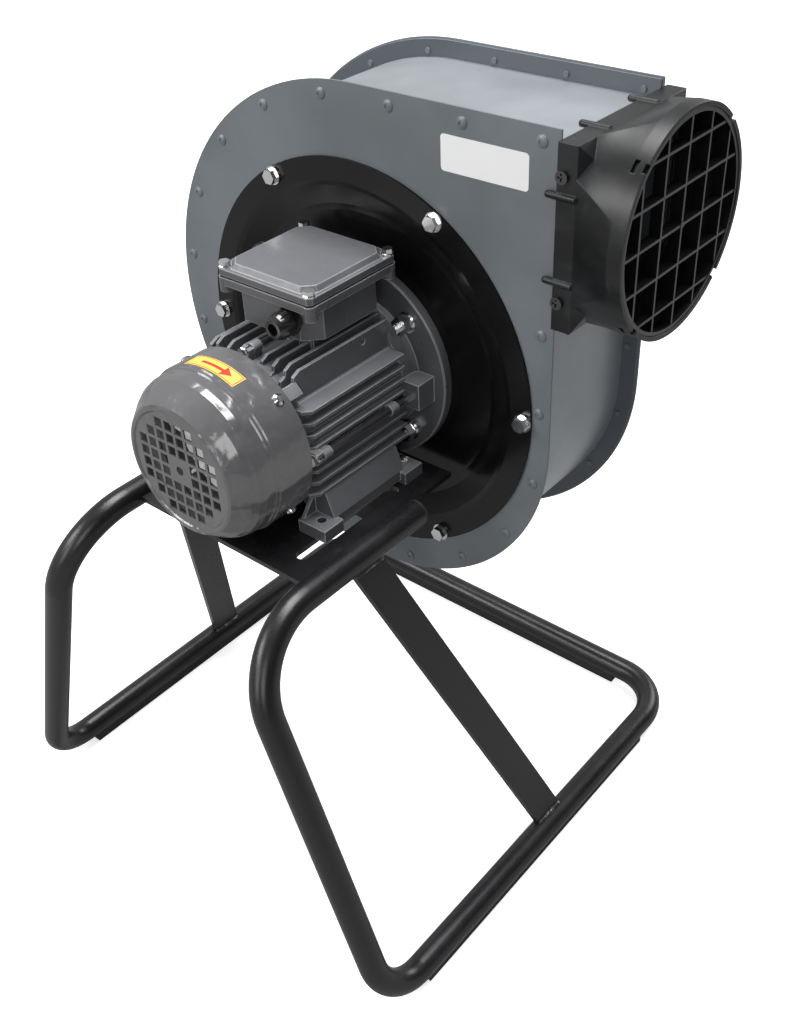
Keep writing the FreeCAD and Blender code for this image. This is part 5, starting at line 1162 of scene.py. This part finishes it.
@dataclass
class Studio:
    """The floor, the light and the camera."""

    lamps: Tuple[Lamp, ...] = (
        Lamp("overhead", (0.0, 0.3, 2.6), (2.0, 1.0), 70.0),
        Lamp("left", (-1.4, -2.0, 1.9), (1.5, 0.8), 34.0),
        Lamp("front", (-0.3, -2.6, 1.1), (0.7, 1.4), 12.0),
        Lamp("right", (1.5, -2.1, 1.4), (0.8, 1.4), 13.0),
        Lamp("back", (0.7, 2.5, 1.5), (1.4, 1.0), 22.0),
    )
    middle: Tuple[float, float, float] = (0.0, 0.0, 0.33)
    floor_size: float = 14.0
    floor_roughness: float = 0.9
    floor_white: Colour = (0.85, 0.85, 0.85)
    floor_bounce: Colour = (0.26, 0.26, 0.26)
    floor_glow: float = 0.62
    glow_from: float = 0.6
    glow_to: float = 2.2
    mirror: float = 0.5
    mirror_right: float = 0.05
    mirror_floor: float = 0.08
    mirror_from: float = -0.2
    mirror_to: float = 0.8
    ambient: float = 0.24
    eye: Tuple[float, float, float] = (551.7, -590.9, 452.8)
    gaze: Tuple[float, float, float] = (-0.5344, 0.5986, -0.5968)
    roll: float = -3.0
    lens: float = 41.81
    sensor: float = 36.0
    far: float = 50.0

    def floor(self) -> bpy.types.Object:
        """A wide pale floor that reads as white and keeps the shadow.

        Returns:
            The floor.
        """
        mesh = bpy.data.meshes.new("floor")
        shape = bmesh.new()
        bmesh.ops.create_grid(shape, x_segments=1, y_segments=1, size=self.floor_size / 2.0)
        shape.to_mesh(mesh)
        shape.free()
        floor = bpy.data.objects.new("floor", mesh)
        bpy.context.scene.collection.objects.link(floor)
        paint = Paint("floor")
        rays = paint.node("ShaderNodeLightPath")
        through = Value(paint, rays.outputs["Is Transmission Ray"])
        mirrored = Value(paint, rays.outputs["Is Glossy Ray"]).most(through)
        seen = Value(paint, rays.outputs["Is Camera Ray"]).most(mirrored * self.mirror_floor)
        across, back = paint.along("X"), paint.along("Y")
        spread = (across * across + back * back) ** 0.5
        level = self.floor_glow + spread.between(self.glow_from, self.glow_to) * (1.0 - self.floor_glow)
        glow = paint.node("ShaderNodeEmission", None, {"Color": (1.0, 1.0, 1.0), "Strength": level})
        shown = paint.mix(seen, self.floor_bounce, self.floor_white)
        paint.set(Base_Color=shown, Roughness=self.floor_roughness)
        lit = paint.shader.outputs["BSDF"]
        both = paint.node("ShaderNodeAddShader", None, {0: lit, 1: glow.outputs[0]})
        blend = paint.node("ShaderNodeMixShader", None, {0: seen, 1: lit, 2: both.outputs[0]})
        paint.feed(paint.output.inputs["Surface"], blend.outputs[0])
        mesh.materials.append(paint.material)
        return floor

    def hang(self, lamp: Lamp) -> None:
        """Hangs a soft rectangular lamp, aimed at the fan's middle.

        Args:
            lamp: The lamp.
        """
        data = bpy.data.lights.new(lamp.name, "AREA")
        data.shape = "RECTANGLE"
        data.size, data.size_y = lamp.size
        data.energy = lamp.power
        place = Vector(lamp.place)
        made = bpy.data.objects.new(lamp.name, data)
        made.location = place
        made.rotation_euler = (Vector(self.middle) - place).to_track_quat("-Z", "Y").to_euler()
        bpy.context.scene.collection.objects.link(made)

    def room(self) -> None:
        """A pale room that shows in glossy surfaces, darker to the right."""
        world = bpy.data.worlds.new("world")
        world.use_nodes = True
        tree = NodeTree(world.node_tree)
        rays = tree.node("ShaderNodeLightPath").outputs
        direction = tree.node("ShaderNodeTexCoord").outputs["Generated"]
        split = tree.node("ShaderNodeSeparateXYZ", None, {"Vector": direction})
        shaded = tree.node(
            "ShaderNodeMapRange",
            None,
            {
                "Value": split.outputs["X"],
                "From Min": self.mirror_from,
                "From Max": self.mirror_to,
                "To Min": self.mirror,
                "To Max": self.mirror_right,
            },
        )
        mirrored = Value(tree, rays["Is Glossy Ray"]) + Value(tree, rays["Is Transmission Ray"])
        level = mirrored * shaded.outputs["Result"] + Value(tree, rays["Is Camera Ray"])
        level = level + Value(tree, rays["Is Diffuse Ray"]) * self.ambient
        sky = tree.node("ShaderNodeBackground", None, {"Color": (1.0, 1.0, 1.0), "Strength": level})
        tree.node("ShaderNodeOutputWorld", None, {"Surface": sky.outputs[0]})
        bpy.context.scene.world = world

    def camera(self) -> bpy.types.Object:
        """The camera from which the fan is usually shown.

        Returns:
            The camera.
        """
        data = bpy.data.cameras.new("camera")
        data.lens = self.lens
        data.sensor_width = self.sensor
        data.sensor_fit = "AUTO"
        data.clip_end = self.far
        camera = bpy.data.objects.new("camera", data)
        forward = Vector(self.gaze).normalized()
        right = forward.cross(Vector((0.0, 0.0, 1.0))).normalized()
        up = right.cross(forward)
        tilt = math.radians(self.roll)
        across = right * math.cos(tilt) + up * math.sin(tilt)
        upward = up * math.cos(tilt) - right * math.sin(tilt)
        turn = Matrix((across, upward, -forward)).transposed()
        camera.matrix_world = Matrix.Translation(at(*self.eye)) @ turn.to_4x4()
        bpy.context.scene.collection.objects.link(camera)
        bpy.context.scene.camera = camera
        return camera

    def build(self) -> None:
        """Sets the whole scene round the fan."""
        bpy.context.scene.view_settings.view_transform = "Standard"
        self.floor()
        for lamp in self.lamps:
            self.hang(lamp)
        self.room()
        self.camera()


def main() -> None:
    """Dresses each sub-assembly in order and sets up the studio."""
    logging.basicConfig(level=logging.INFO, format="%(message)s")
    shop = PaintShop()
    for kind in (Stand, Housing, Outlet, Motor, TerminalBox, Impeller):
        group = kind(shop)
        added = group.dress()
        LOG.info("%s: %d solids, %d new pieces", group.title, len(group.finishes()), len(added))
        for piece in added:
            LOG.info("made %s", piece.name)
    Studio().build()


if __name__ == "__main__":
    main()
